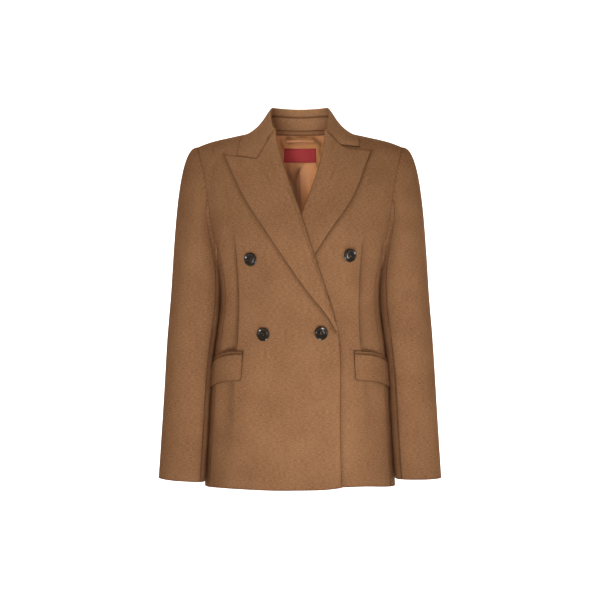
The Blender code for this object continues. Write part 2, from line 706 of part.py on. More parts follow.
def sleeve_grid(word):
    """Own-side points of the whole sleeve, armhole to cuff."""
    ring, turns, front_row, back_row = armhole_ring()
    start = ring + np.array([2 * HALF_SEAM, 0.0, 0.0])
    end = sleeve_ring(turns, SLEEVE_ROWS[0])
    leave = blend_by_turn(turns, CAP_DIRECTION)
    leave /= np.linalg.norm(leave, axis=1, keepdims=True)
    reach = blend_by_turn(turns, CAP_REACH)[:, None]
    rise = blend_by_turn(turns, CAP_RISE)[:, None]
    down = sleeve_ring(turns, SLEEVE_ROWS[0]) - sleeve_ring(turns, SLEEVE_ROWS[1])
    down /= np.linalg.norm(down, axis=1, keepdims=True)
    first = start + leave * reach
    second = end + down * rise
    t = np.linspace(0, 1, CAP_ROWS + 1)[:-1, None, None]
    cap = ((1 - t) ** 3 * start + 3 * (1 - t) ** 2 * t * first
           + 3 * (1 - t) * t ** 2 * second + t ** 3 * end)
    arm = np.stack([sleeve_ring(turns, height) for height in SLEEVE_ROWS])
    toward_body = (1 - np.cos(np.radians(turns))) / 2
    arm[-1, :, 2] -= CUFF_DROP[word] * toward_body
    return np.concatenate([cap, arm], 0), front_row, back_row


def tube_normals(points):
    """Unit normals of a tube given as rings, pointing out of it."""
    around = np.roll(points, -1, 1) - np.roll(points, 1, 1)
    along = np.gradient(points, axis=0)
    normal = np.cross(along, around)
    normal /= np.linalg.norm(normal, axis=-1, keepdims=True)
    from_middle = points - points.mean(axis=1, keepdims=True)
    if np.sum(normal[-1] * from_middle[-1]) < 0:
        normal = -normal
    return normal


def sleeve_wall(points):
    """Wall of a sleeve, thinner close under the arm where it folds down off the body."""
    wall = np.full(points.shape[:2], WALL)
    depth = np.linspace(1, 0, CAP_ROWS + 1)[:, None]
    under = np.clip((UNDERARM_HEIGHT - points[0, :, 2]) / UNDERARM_SPAN, 0, 1)
    wall[:CAP_ROWS + 1] -= (WALL - UNDERARM_WALL) * depth * under
    return wall


def make_sleeves(group):
    """Top sleeve and under sleeve of each arm."""
    for side, word in ((1, "left"), (-1, "right")):
        points, front_row, back_row = sleeve_grid(word)
        inner = points - tube_normals(points) * sleeve_wall(points)[..., None]
        count = points.shape[1]
        order_top = [i % count for i in range(back_row, count + front_row + 1)]
        order_under = list(range(front_row, back_row + 1))
        for part, order in (("top_sleeve_", order_top), ("under_sleeve_", order_under)):
            skin_a = mirrored(inset(points[:, order], HALF_SEAM, HALF_SEAM), side)
            skin_b = mirrored(inset(inner[:, order], HALF_SEAM, HALF_SEAM), side)
            shell(part + word, skin_a, skin_b, CLOTH_BROWN, DULL, group)


def run_along(line, shares):
    """Points at shares of the length of a line of points, on a smooth curve through them."""
    line = np.array(line)
    run = np.concatenate([[0], np.cumsum(np.linalg.norm(np.diff(line, axis=0), axis=1))])
    at = np.asarray(shares) * run[-1]
    return np.stack([spline(run, line[:, k], at) for k in range(2)], -1)


def lapel_plan(style):
    """Own-side (x, z) of the lapel's grid, and each point's distance from the fold."""
    share = np.linspace(0, 1, LAPEL_ROWS)
    fold_z = LAPEL_TOP + (BREAK_HEIGHT + LAPEL_FOOT_GAP - LAPEL_TOP) * share
    fold = np.stack([break_x(fold_z, style), fold_z], -1)
    table = TOP_LAPEL_EDGE if style == "top" else UNDER_LAPEL_EDGE
    sign = -1 if style == "top" else 1
    edge = run_along([(sign * x, z) for x, z in table], share)
    across = np.array(LAPEL_ACROSS)
    plan = fold[:, None] + (edge - fold)[:, None] * across[None, :, None]
    notch = np.array(NOTCHES[style])
    corner = across[LAPEL_NOTCH_COLUMN]
    to_notch = fold[0] + (notch - fold[0]) * np.clip(across / corner, 0, 1)[:, None]
    beyond = (edge[0] - notch) * np.clip((across - corner) / (1 - corner), 0, 1)[:, None]
    bend = to_notch + beyond - plan[0]
    fade = np.clip(1 - share / NOTCH_FADE, 0, 1) ** 2
    plan = plan + bend[None] * fade[:, None, None]
    distance = np.linalg.norm(plan - fold[:, None], axis=-1)
    slope = (TOP_BREAK if style == "top" else UNDER_BREAK)["slope"]
    toward = np.broadcast_to(np.array([1.0, -slope]) / math.hypot(1.0, slope), fold.shape)
    return fold, toward, plan, distance


def roll_height(distance, z, style):
    """Extra stand of a lapel over its soft fold."""
    roll = LAPEL_ROLL * np.exp(-((distance - LAPEL_ROLL_PLACE) / LAPEL_ROLL_WIDTH) ** 2)
    if style == "under":
        roll = roll * smooth_step((z - COVERED_HEIGHT) / COVERED_FADE)
    else:
        roll = roll * smooth_step((z - BREAK_HEIGHT) / ROLL_FADE)
    return roll * smooth_step((ROLL_TOP - z) / ROLL_FADE)


def make_lapels(group):
    """The folded-back upper fronts, made from the fronts' own points and moved out."""
    for side, word in ((1, "left"), (-1, "right")):
        style = "under" if side > 0 else "top"
        fold, toward, plan, distance = lapel_plan(style)
        thin = smooth_step((fold[:, 1] - BREAK_HEIGHT) / LAPEL_THIN_LENGTH)[:, None]
        thin = LAPEL_THIN_SHARE + (1 - LAPEL_THIN_SHARE) * thin
        sides = []
        for nose, wall_share in ((NOSE_OUTER, 1), (NOSE_INNER, 0)):
            offsets = np.array([point[0] for point in nose])
            lifts = np.array([point[1] for point in nose])
            near = fold[:, None] + toward[:, None] * (offsets * thin)[..., None]
            flat = np.concatenate([near, plan], 1)
            points = front_points(side * flat[..., 0], flat[..., 1])
            leaf = LAPEL_GAP + LAPEL_WALL[style] * wall_share
            leaf = leaf + roll_height(distance, plan[..., 1], style)
            stand = np.concatenate([np.broadcast_to(lifts, near.shape[:2]), leaf], 1)
            body = front_lift(points[..., 0], side, style)
            lift = body + stand * thin
            if style == "under":
                free = smooth_step((flat[..., 1] - COVERED_HEIGHT) / COVERED_FADE)
                most = body + LAPEL_GAP + LAPEL_WALL[style]
                lift = np.where(lift > most, most + (lift - most) * free, lift)
            sides.append(skins(points, lift, 0.0)[0])
        shell("lapel_" + word, sides[0], sides[1], CLOTH_BROWN, DULL, group)


def collar_rails():
    """The collar's five rails, from one gorge round the back of the neck to the other."""
    half = np.array(COLLAR_STATIONS)
    other = half[:0:-1] * np.array([-1.0, 1.0, 1.0])
    whole = np.concatenate([other, half], 0)
    count = len(whole)
    fine = np.linspace(0, count - 1, (count - 1) * COLLAR_STEPS + 1)
    rails = np.empty((len(fine), 5, 3))
    for rail in range(5):
        for axis in range(3):
            rails[:, rail, axis] = spline(np.arange(count), whole[:, rail, axis], fine)
    return rails


def grid_normals(points):
    """Unit normals of an open grid."""
    normal = np.cross(np.gradient(points, axis=1), np.gradient(points, axis=0))
    return normal / np.linalg.norm(normal, axis=-1, keepdims=True)


def collar_end_line(last, word):
    """Own-side points of the collar's end: round the fold, down the gorge, out to the tip."""
    corner, tip = (np.array(p) for p in COLLAR_ENDS[word])
    share = np.array(FALL_SHARES)
    fold_at, corner_at = FALL_MARKS[1], FALL_MARKS[2]
    first = np.array([np.interp(fold_at, share, last[:, k]) for k in range(3)])
    down = np.clip((share - fold_at) / (corner_at - fold_at), 0, 1)[:, None]
    out = np.clip((share - corner_at) / (1 - corner_at), 0, 1)[:, None]
    plan = first[[0, 2]] + (corner - first[[0, 2]]) * down + (tip - corner) * out
    stand_at_fold = float(form_y(first[0], first[2], -1.0)) - first[1]
    settle = smooth_step(down[:, 0] / COLLAR_SETTLE_SHARE)
    stand = stand_at_fold + (COLLAR_END_LIFT - stand_at_fold) * settle
    depth = form_y(plan[:, 0], plan[:, 1], np.full(len(plan), -1.0)) - stand
    line = np.stack([plan[:, 0], depth, plan[:, 1]], -1)
    return np.where((share < fold_at)[:, None], last, line)


def collar_leaf(rails):
    """Outer skin of the collar fall, drawn at each end to the gorge and the free end."""
    seam, roll, belly, edge = (rails[:, k] for k in range(1, 5))
    start = seam + (roll - seam) * COLLAR_SEAM_SHARE
    line = np.stack([start, roll, belly, edge], 1)
    leaf = np.empty((len(rails), len(FALL_SHARES), 3))
    for axis in range(3):
        for i in range(len(rails)):
            leaf[i, :, axis] = spline(FALL_MARKS, line[i, :, axis], FALL_SHARES)
    place = np.arange(len(rails)) / (COLLAR_STEPS * COLLAR_END_FADE)
    for word, side, along in (("right", -1, place), ("left", 1, place[::-1])):
        flip = np.array([side, 1.0, 1.0])
        last = leaf[0 if side < 0 else -1] * flip
        shift = (collar_end_line(last, word) - last) * flip
        leaf = leaf + shift[None] * np.exp(-along ** 2)[:, None, None]
    return leaf


def make_collar(group):
    """Collar stand and collar fall."""
    rails = collar_rails()
    foot, seam = rails[:, 0], rails[:, 1]
    fall = collar_leaf(rails)
    normal = grid_normals(fall)
    middle = len(rails) // 2
    if normal[middle, -1, 1] < 0:
        normal = -normal
    inner = fall - normal * np.array(COLLAR_WALLS)[:, None]
    shell("collar_fall", fall, inner, CLOTH_BROWN, DULL, group)
    share = np.linspace(0, 1, 3)[None, :, None]
    top = seam + (foot - seam) * COLLAR_SEAM_SHARE
    stand = foot[:, None] + (top - foot)[:, None] * share
    stand = stand[COLLAR_STEPS:-COLLAR_STEPS]
    normal = grid_normals(stand)
    if normal[len(stand) // 2, 0, 1] > 0:
        normal = -normal
    shell("collar_stand", stand, stand - normal * STAND_WALL, CLOTH_BROWN, DULL, group)


def make_pockets(group):
    """A flap on each hip, and the narrow welt that it hangs from."""
    for side, word in ((1, "left"), (-1, "right")):
        start = FLAP_START[word]
        share = np.array(POCKET_SHARES)
        top = look_up(POCKET_TOP, POCKET_COLUMNS, "share", "top", share)
        level = np.full_like(share, POCKET_LEVEL)
        front = np.full_like(share, -1.0)
        first = ring_turn(np.array([start]), level[:1], front[:1])[0]
        turns = first + (FLAP_END_TURN - first) * share
        run = share * POCKET_LENGTH
        near_end = np.minimum(run, POCKET_LENGTH - run)
        short = np.clip(FLAP_CORNER - near_end, 0, FLAP_CORNER)
        round_off = FLAP_CORNER - np.sqrt(FLAP_CORNER ** 2 - short ** 2)
        height = FLAP_HEIGHT - round_off
        for name, upper, lower, rows, wall, gap in (
                ("pocket_flap_", top, top - height, 5, FLAP_WALL, FLAP_LIFT),
                ("pocket_welt_", top + 2 * HALF_SEAM + WELT_HEIGHT, top + 2 * HALF_SEAM, 2,
                 WELT_WALL, LAPEL_GAP)):
            down = np.linspace(0, 1, rows)[:, None]
            z = upper[None, :] + (lower - upper)[None, :] * down
            turn = np.repeat(turns[None, :], rows, 0)
            face = np.where(turn > 90, 1.0, -1.0)
            points = np.stack([side * ring_x(turn, z, face), ring_y(turn, z, face), z], -1)
            style = "under" if side > 0 else "top"
            lift = front_lift(points[..., 0], side, style) + gap + wall
            outer, inner = skins(points, lift, wall)
            shell(name + word, outer, inner, CLOTH_BROWN, DULL, group)


def inside_back(x, z, lift, wall):
    """Skins of a piece that lines the back, lift being its gap from the cloth's inner side."""
    points = np.stack([x, form_y(x, z, np.full_like(x, 1.0)), z], -1)
    return skins(points, -(WALL + lift), wall)


def pleat(x, z):
    """Stand of the lining's centre pleat: a fold that drops on one side and runs out on the other."""
    over = np.exp(-(x / PLEAT_SPREAD) ** 2) * (x >= 0)
    down = smooth_step((PLEAT_TOP - z) / PLEAT_FADE)
    return PLEAT_HEIGHT * over * down


def make_lining(group):
    """Neck facing, back lining, hanger loop and bare label."""
    x = np.linspace(-FACING_HALF_WIDTH, FACING_HALF_WIDTH, 15)
    z = np.linspace(FACING_FOOT, FACING_TOP, 2)
    grid_x, grid_z = np.meshgrid(x, z)
    outer, inner = inside_back(grid_x, grid_z, FACING_LIFT, LINING_WALL)
    shell("neck_facing", outer, inner, CLOTH_BROWN, DULL, group)

    x = LINING_HALF_WIDTH * np.array(LINING_ACROSS)
    low = np.array(LINING_LEVELS)
    share = np.sin(np.radians(np.array(LINING_TURNS)))
    below_x, below_z = np.meshgrid(x, low)
    top = np.minimum((LINING_TOP - CHEST_HEIGHT) / (ridge_height(x) - CHEST_HEIGHT),
                     LINING_SHARE_MOST)
    above_share = share[:, None] / share[-1] * top[None, :]
    above_x = np.repeat(x[None, :], len(share), 0)
    grid_x = np.concatenate([below_x, above_x], 0)
    grid_z = np.concatenate([below_z, rising_z(above_x, above_share)], 0)
    outer, inner = inside_back(grid_x, grid_z, LINING_LIFT + pleat(grid_x, grid_z),
                               LINING_WALL)
    shell("back_lining", outer, inner, LINING_GOLD, SATIN, group)

    x = np.linspace(-LABEL_SIZE[0] / 2, LABEL_SIZE[0] / 2, 7)
    z = np.linspace(LABEL_TOP - LABEL_SIZE[1], LABEL_TOP, 3)
    grid_x, grid_z = np.meshgrid(x, z)
    outer, inner = inside_back(grid_x, grid_z, LABEL_LIFT, LABEL_WALL)
    shell("neck_label", outer, inner, LABEL_RED, RIBBON, group)

    share = np.linspace(-1, 1, 13)
    x = share * LOOP_SPAN / 2
    z_mid = LOOP_HEIGHT - LOOP_DROP * share ** 2
    across = np.linspace(-LOOP_WIDTH / 2, LOOP_WIDTH / 2, 2)[:, None]
    grid_x = np.repeat(x[None, :], 2, 0)
    grid_z = z_mid[None, :] + across
    stand = LOOP_GAP + LOOP_STAND * (1 - share ** 2)
    outer, inner = inside_back(grid_x, grid_z, np.repeat(stand[None, :], 2, 0), LABEL_WALL)
    shell("hanger_loop", outer, inner, LINING_GOLD, SATIN, group)


def cutter(name, x, y, turn, place, cutters):
    """A drill for one thread hole, in the button's own frame."""
    work = bmesh.new()
    bmesh.ops.create_cone(work, cap_ends=True, segments=HOLE_SIDES, radius1=HOLE_RADIUS,
                          radius2=HOLE_RADIUS, depth=HOLE_DEPTH)
    mesh = bpy.data.meshes.new(name)
    work.to_mesh(mesh)
    work.free()
    made = bpy.data.objects.new(name, mesh)
    made.matrix_world = place @ Matrix.Translation((x, y, 0.0)) @ Matrix.Rotation(turn, 4, "Z")
    made.hide_render = True
    made.display_type = "WIRE"
    cutters.objects.link(made)
    return made


def make_buttons(group, cutters):
    """Four turned buttons with raised rims, dished middles and four thread holes."""
    for name, x, z, style in BUTTON_ROWS:
        side = -1 if style == "top" else 1
        points = front_points(np.array([x]), np.array([z]))
        normal = outward(points)[0]
        lift = float(front_lift(points[0, 0], side, style)) + BUTTON_STAND
        centre = Vector(points[0] + normal * lift)
        turn = Vector(normal).to_track_quat("Z", "Y").to_matrix().to_4x4()
        place = Matrix.Translation(centre) @ turn
        mesh = bpy.data.meshes.new(name)
        profile = [(radius, 0.0, height) for radius, height in BUTTON_PROFILE]
        mesh.from_pydata(profile, [(i, i + 1) for i in range(len(profile) - 1)], [])
        made = bpy.data.objects.new(name, mesh)
        made.matrix_world = place
        group.objects.link(made)
        mesh.materials.append(material(name + "_finish", HORN_BROWN, POLISHED))
        screw = made.modifiers.new("turned", "SCREW")
        screw.axis = "Z"
        screw.steps = BUTTON_SIDES
        screw.render_steps = BUTTON_SIDES
        screw.use_merge_vertices = True
        screw.merge_threshold = MERGE
        screw.use_normal_calculate = True
        screw.use_smooth_shade = True
        for i, (a, b) in enumerate(((-1, -1), (1, -1), (1, 1), (-1, 1))):
            drill = cutter("{}_drill_{}".format(name, i), a * HOLE_SPACING, b * HOLE_SPACING,
                           math.pi / HOLE_SIDES, place, cutters)
            hole = made.modifiers.new("thread_hole_{}".format(i), "BOOLEAN")
            hole.operation = "DIFFERENCE"
            hole.solver = "EXACT"
            hole.object = drill


def main():
    """Clear the scene and build the garment."""
    for old in list(bpy.data.objects):
        bpy.data.objects.remove(old, do_unlink=True)
    group = bpy.data.collections.new("double_breasted_blazer")
    cutters = bpy.data.collections.new("cutters")
    bpy.context.scene.collection.children.link(group)
    bpy.context.scene.collection.children.link(cutters)
    cutters.hide_render = True
    make_body(group)
    make_sleeves(group)
    make_lapels(group)
    make_collar(group)
    make_pockets(group)
    make_lining(group)
    make_buttons(group, cutters)


main()
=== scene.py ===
import math

import bmesh
import bpy
import numpy as np
from mathutils import Matrix, Vector


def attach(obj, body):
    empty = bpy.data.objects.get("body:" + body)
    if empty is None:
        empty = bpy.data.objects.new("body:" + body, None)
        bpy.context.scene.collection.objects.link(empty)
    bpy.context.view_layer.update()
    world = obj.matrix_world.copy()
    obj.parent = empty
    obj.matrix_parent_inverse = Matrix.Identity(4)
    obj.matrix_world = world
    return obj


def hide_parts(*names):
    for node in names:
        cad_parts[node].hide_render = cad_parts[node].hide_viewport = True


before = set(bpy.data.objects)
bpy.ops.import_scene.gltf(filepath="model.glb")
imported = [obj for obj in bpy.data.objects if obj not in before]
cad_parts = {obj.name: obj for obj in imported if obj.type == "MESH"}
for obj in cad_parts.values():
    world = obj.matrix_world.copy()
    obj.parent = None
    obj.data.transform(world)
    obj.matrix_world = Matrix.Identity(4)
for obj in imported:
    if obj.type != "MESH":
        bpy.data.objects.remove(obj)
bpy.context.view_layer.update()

bl_info = {
    "name": "Double Breasted Blazer",
    "version": (1, 0, 0),
    "blender": (4, 5, 0),
    "location": "3D View > Sidebar > Blazer",
    "description": "Builds a hollow, worn-form double breasted blazer with peak lapels",
    "category": "Add Mesh",
}

# ------------------------------------------------------------------ the worn form, in metres
# +X is the wearer's left, +Y the back, +Z up; the origin is at the back neck seam.

FORM_COLUMNS = ("height", "half_width", "front_depth", "back_depth")
FORM_RINGS = (
    (-0.700, 0.1835, 0.1220, 0.1290),
    (-0.600, 0.1778, 0.1228, 0.1262),
    (-0.500, 0.1712, 0.1218, 0.1190),
    (-0.430, 0.1650, 0.1195, 0.1105),
    (-0.380, 0.1580, 0.1165, 0.1020),
    (-0.330, 0.1532, 0.1140, 0.0955),
    (-0.290, 0.1552, 0.1150, 0.0950),
    (-0.255, 0.1612, 0.1185, 0.0985),
    (-0.225, 0.1675, 0.1212, 0.1025),
    (-0.180, 0.1795, 0.1222, 0.1065),
    (-0.130, 0.1935, 0.1210, 0.1095),
    (-0.080, 0.2050, 0.1195, 0.1110),
    (-0.030, 0.2130, 0.1185, 0.1120),
    (0.080, 0.2200, 0.1175, 0.1130),
)
FRONT_SQUARENESS = 2.40
BACK_SQUARENESS = 2.20
FRONT_SHOULDER_ROLL = 2.2
BACK_SHOULDER_ROLL = 3.0
CHEST_HEIGHT = -0.225
SHOULDER_COLUMNS = ("x", "height")
SHOULDER_LINE = (
    (0.0000, 0.0010), (0.0500, -0.0040), (0.0966, -0.0138), (0.1158, -0.0168),
    (0.1350, -0.0208), (0.1542, -0.0248), (0.1734, -0.0300), (0.1955, -0.0385),
    (0.2300, -0.0560),
)
NECK_RISE = 0.052
NECK_SPREAD = 0.052
SEAM_COLUMNS = ("height", "front_seam", "back_seam")
SIDE_SEAMS = (
    (-0.700, 68.0, 116.0), (-0.500, 67.0, 117.0), (-0.330, 65.0, 119.0), (-0.225, 68.5, 117.5),
)
ARMHOLE_DIP = 0.035
ARMHOLE_COLUMNS = ("height", "front_x", "back_x")
ARMHOLE = (
    (-0.225, 0.1622, 0.1628), (-0.190, 0.1680, 0.1705), (-0.150, 0.1738, 0.1775),
    (-0.110, 0.1798, 0.1835), (-0.080, 0.1860, 0.1885), (-0.060, 0.1915, 0.1925),
    (-0.030, 0.1955, 0.1955),
)
SHOULDER_END = 0.1955
NECK_POINT = 0.0780
DART_COLUMNS = ("height", "x")
DART_LINE = (
    (-0.700, 0.1180), (-0.420, 0.1130), (-0.345, 0.1110), (-0.217, 0.1180), (-0.100, 0.1300),
    (0.000, 0.1360),
)
DART_TOP = -0.217
DART_FOOT = -0.425
HEM_HEIGHT = -0.684
BREAK_HEIGHT = -0.393
TOP_BREAK = {"x": -0.0500, "height": -0.0250, "slope": 0.3285}
UNDER_BREAK = {"x": 0.0500, "height": -0.0250, "slope": 0.3020}
EDGE_COLUMNS = ("height", "top_x", "under_x")
FRONT_EDGES = (
    (-0.700, 0.0774, -0.0690), (-0.517, 0.0746, -0.0665), (-0.425, 0.0737, -0.0645),
    (BREAK_HEIGHT, 0.0709, -0.0611),
)
NECKLINE_FRONT = ((0.0436, -0.0450), (0.0560, -0.0300), (0.0660, -0.0180), (0.0740, -0.0090))
NECKLINE_BACK = ((0.0, -0.0040), (0.030, -0.0036), (0.055, -0.0034), (0.070, -0.0036))
TOP_LIFT = 0.0030
UNDER_DROP = 0.0036
LIFT_START = 0.0420
LIFT_END = 0.0880
SMALL_STEP = 1e-5
HALF_SEAM = 0.00015

# ------------------------------------------------------------------ cut of the pieces, in metres

HEM_COLUMNS = ("x", "top_height", "under_height")
HEM_LINE = (
    (-0.0774, -0.6800, -0.6795), (-0.0500, -0.6830, -0.6795), (-0.0100, -0.6842, -0.6795),
    (0.0700, -0.6846, -0.6797), (0.1300, -0.6838, -0.6800), (0.1600, -0.6845, -0.6830),
    (0.1835, -0.6860, -0.6860),
)
BACK_HEM = "under"
HEM_FADE = 0.092
DART_SHIFT = {"top": 0.0045, "under": 0.0}
DART_SHIFT_TOP = -0.19
DART_SHIFT_FADE = 0.03
# columns of the lapel edges, from the peak down to the break: x, height
LAPEL_EDGES = {
    "top": ((0.1435, -0.0590), (0.1267, -0.0970), (0.1020, -0.1466), (0.0737, -0.1910),
            (0.0270, -0.2600), (-0.0190, -0.3255), (-0.0550, -0.3730), (-0.0657, -0.3924)),
    "under": ((0.1345, -0.0512), (0.1225, -0.0830), (0.0985, -0.1420), (0.0700, -0.1850),
              (0.0260, -0.2510), (-0.0180, -0.3160), (-0.0460, -0.3690), (-0.0560, -0.3924)),
}
NOTCHES = {"top": (0.0820, -0.0690), "under": (0.0800, -0.0475)}
COLLAR_ENDS = {"right": ((0.0812, -0.0678), (0.1197, -0.0608)),
               "left": ((0.0770, -0.0400), (0.1130, -0.0430))}
COLLAR_END_LIFT = 0.0046
LAPEL_TOP = -0.0190
LAPEL_GAP = 0.0011
FOLD_BOW = {"top": 0.0030, "under": 0.0050}
FOLD_BOW_FOOT = -0.1650
FOLD_BOW_SPAN = 0.16
LAPEL_WALL = {"top": 0.0020, "under": 0.0016}
LAPEL_ROLL = 0.0040
LAPEL_ROLL_WIDTH = 0.0110
ROLL_TOP = -0.0250
LAPEL_START = 0.07
NOTCH_SHARE = 0.40
NOSE_OUTER = ((-0.0030, -0.0004), (-0.0023, 0.0018), (-0.0006, 0.0036))
NOSE_INNER = ((-0.0027, -0.0016), (-0.0005, -0.0019), (-0.0004, 0.0006))
COLLAR_RAILS = ("foot", "seam", "roll", "belly", "edge")
COLLAR_STATIONS = (
    ((0.0000, 0.0725, 0.0032), (0.0000, 0.0680, 0.0250), (0.0000, 0.0705, 0.0420),
     (0.0000, 0.0825, 0.0250), (0.0000, 0.0890, -0.0100)),
    ((0.0300, 0.0612, 0.0032), (0.0290, 0.0575, 0.0250), (0.0297, 0.0600, 0.0420),
     (0.0360, 0.0715, 0.0240), (0.0420, 0.0740, -0.0100)),
    ((0.0530, 0.0360, 0.0028), (0.0498, 0.0355, 0.0240), (0.0505, 0.0375, 0.0415),
     (0.0648, 0.0465, 0.0200), (0.0780, 0.0420, -0.0075)),
    ((0.0650, 0.0165, 0.0005), (0.0562, 0.0150, 0.0190), (0.0552, 0.0165, 0.0370),
     (0.0762, 0.0215, 0.0092), (0.0948, 0.0180, -0.0142)),
    ((0.0700, -0.0040, -0.0045), (0.0575, -0.0075, 0.0085), (0.0562, -0.0070, 0.0240),
     (0.0795, -0.0060, 0.0025), (0.1035, -0.0090, -0.0160)),
    ((0.0670, -0.0280, -0.0140), (0.0560, -0.0345, -0.0050), (0.0548, -0.0350, 0.0080),
     (0.0820, -0.0390, -0.0125), (0.1120, -0.0410, -0.0240)),
    ((0.0580, -0.0500, -0.0260), (0.0530, -0.0560, -0.0170), (0.0520, -0.0580, -0.0060),
     (0.0835, -0.0660, -0.0370), (0.1170, -0.0600, -0.0400)),
    ((0.0530, -0.0600, -0.0320), (0.0482, -0.0625, -0.0150), (0.0492, -0.0700, -0.0125),
     (0.0838, -0.0826, -0.0580), (0.1205, -0.0702, -0.0545)),
)
FALL_MARKS = (0.0, 0.28, 0.62, 1.0)
FALL_WALL_AT = (0.0, 0.14, 0.24, 0.32, 0.42, 0.62, 0.81, 1.0)
FALL_WALLS = (0.0012, 0.0010, 0.0009, 0.0009, 0.0012, 0.0020, 0.0022, 0.0022)
COLLAR_SEAM_SHARE = 0.012
STAND_WALL = 0.0014
SLEEVE_COLUMNS = ("height", "centre_x", "centre_y", "half_width", "half_depth")
SLEEVE_RINGS = (
    (-0.285, 0.1985, 0.0020, 0.0470, 0.0620),
    (-0.330, 0.1998, -0.0010, 0.0484, 0.0590),
    (-0.400, 0.2068, -0.0070, 0.0468, 0.0545),
    (-0.470, 0.2126, -0.0150, 0.0447, 0.0505),
    (-0.540, 0.2166, -0.0230, 0.0443, 0.0468),
    (-0.610, 0.2205, -0.0300, 0.0445, 0.0435),
    (-0.669, 0.2245, -0.0350, 0.0440, 0.0405),
)
SLEEVE_TOP = -0.285
SLEEVE_TOP_NEXT = -0.318
SLEEVE_FOOT = -0.669
SLEEVE_SQUARENESS = 2.15
FOREARM_SQUARENESS = 2.70
UNDERARM_WALL = 0.0006
UNDERARM_HEIGHT = -0.1750
UNDERARM_SPAN = 0.0350
CAP_REACH = {"top": 0.034, "front": 0.030, "bottom": 0.009, "back": 0.030}
CAP_RISE = {"top": 0.125, "front": 0.060, "bottom": 0.010, "back": 0.060}
CAP_DIRECTION = {"top": (1.0, 0.0, 0.10), "front": (0.80, -0.30, -0.50),
                 "bottom": (0.35, 0.0, -0.9), "back": (0.80, 0.30, -0.50)}
SEAM_RISE = 25.0
FOREARM_SEAM_TURN = {"left": 133.0, "right": 140.0}
HIND_SEAM_TURN = 245.0
UNDERARM_TURNS = (158.0, 202.0)
CUFF_DROP = {"left": 0.001, "right": 0.007}
POCKET_COLUMNS = ("share", "top")
POCKET_TOP = ((0.0, -0.4325), (0.35, -0.4350), (0.70, -0.4425), (1.0, -0.4510))
POCKET_LEVEL = -0.4500
FLAP_START = {"left": 0.1005, "right": 0.1065}
FLAP_END_TURN = 79.0
POCKET_LENGTH = 0.118
FLAP_HEIGHT = 0.0500
FLAP_CORNER = 0.0065
FLAP_WALL = 0.0024
FLAP_LIFT = 0.0009
WELT_HEIGHT = 0.0058
WELT_WALL = 0.0018
FACING_TOP = 0.0026
FACING_FOOT = -0.0065
FACING_HALF_WIDTH = 0.0600
FACING_LIFT = 0.0028
LINING_WALL = 0.0010
LINING_TOP = -0.0070
LINING_FOOT = -0.3000
LINING_HALF_WIDTH = 0.1150
LINING_LIFT = 0.0016
LINING_SHARE_MOST = 0.962
PLEAT_HEIGHT = 0.0080
PLEAT_SPREAD = 0.0220
PLEAT_TOP = -0.0620
LABEL_LIFT = 0.0040
LABEL_SIZE = (0.0672, 0.0275)
LABEL_TOP = -0.0318
LABEL_WALL = 0.0008
LOOP_WIDTH = 0.0065
LOOP_SPAN = 0.0640
LOOP_HEIGHT = -0.0150
LOOP_STAND = 0.0050
LOOP_GAP = 0.0050
LOOP_DROP = 0.0030
WALL = 0.0020
BUTTON_STAND = 0.0003
BUTTON_PLACES = (
    ("button_upper_right", -0.0912, -0.2565, "top"),
    ("button_upper_left", 0.0922, -0.2490, "under"),
    ("button_lower_right", -0.0675, -0.3960, "top"),
    ("button_lower_left", 0.0387, -0.3940, "top"),
)


# ------------------------------------------------------------------ curves and the form

def column(rows, names, wanted):
    """One named column of a table as an array."""
    return np.array([row[names.index(wanted)] for row in rows])


def spline(knots, values, at):
    """Natural cubic through the knots, held at its end values beyond them.

    Between two knots the value is the straight line between them plus a cubic bend; the bends are
    the ones that leave slope and curvature unbroken at every knot.
    """
    order = np.argsort(knots)
    k = np.asarray(knots, float)[order]
    v = np.asarray(values, float)[order]
    gap = np.diff(k)
    count = len(k)
    system = np.eye(count)
    right = np.zeros(count)
    inner = np.arange(1, count - 1)
    system[inner, inner - 1] = gap[:-1]
    system[inner, inner] = 2 * (gap[:-1] + gap[1:])
    system[inner, inner + 1] = gap[1:]
    slope = np.diff(v) / gap
    right[1:-1] = 6 * np.diff(slope)
    bend = np.linalg.solve(system, right)
    x = np.clip(np.asarray(at, float), k[0], k[-1])
    i = np.clip(np.searchsorted(k, x) - 1, 0, count - 2)
    a = (k[i + 1] - x) / gap[i]
    b = (x - k[i]) / gap[i]
    curve = (a ** 3 - a) * bend[i] + (b ** 3 - b) * bend[i + 1]
    return a * v[i] + b * v[i + 1] + curve * gap[i] ** 2 / 6


def look_up(rows, names, key, wanted, at):
    """A named column of a table as a smooth function of another."""
    return spline(column(rows, names, key), column(rows, names, wanted), at)


def smooth_step(value):
    """0 below 0, 1 above 1, with level ends: 3 t squared less 2 t cubed."""
    t = np.clip(value, 0.0, 1.0)
    return t * t * (3 - 2 * t)


def hump(value):
    """A soft hump: 1 at 0 and near 0 beyond 2, the exponential of minus the square."""
    return np.exp(-np.square(value))


def ridge_height(x):
    """Height of the form over the shoulder line, plus a bell-shaped rise into the neck."""
    side = np.abs(x)
    shoulder = look_up(SHOULDER_LINE, SHOULDER_COLUMNS, "x", "height", side)
    return shoulder + NECK_RISE * hump(side / NECK_SPREAD)


def rise_share(x, z):
    """0 at chest height, 1 on the shoulder line above this x."""
    return np.clip((z - CHEST_HEIGHT) / (ridge_height(x) - CHEST_HEIGHT), 0.0, 1.0)


def rising_z(x, share):
    """Height at a share of the way from the chest to the shoulder line."""
    return CHEST_HEIGHT + (ridge_height(x) - CHEST_HEIGHT) * share


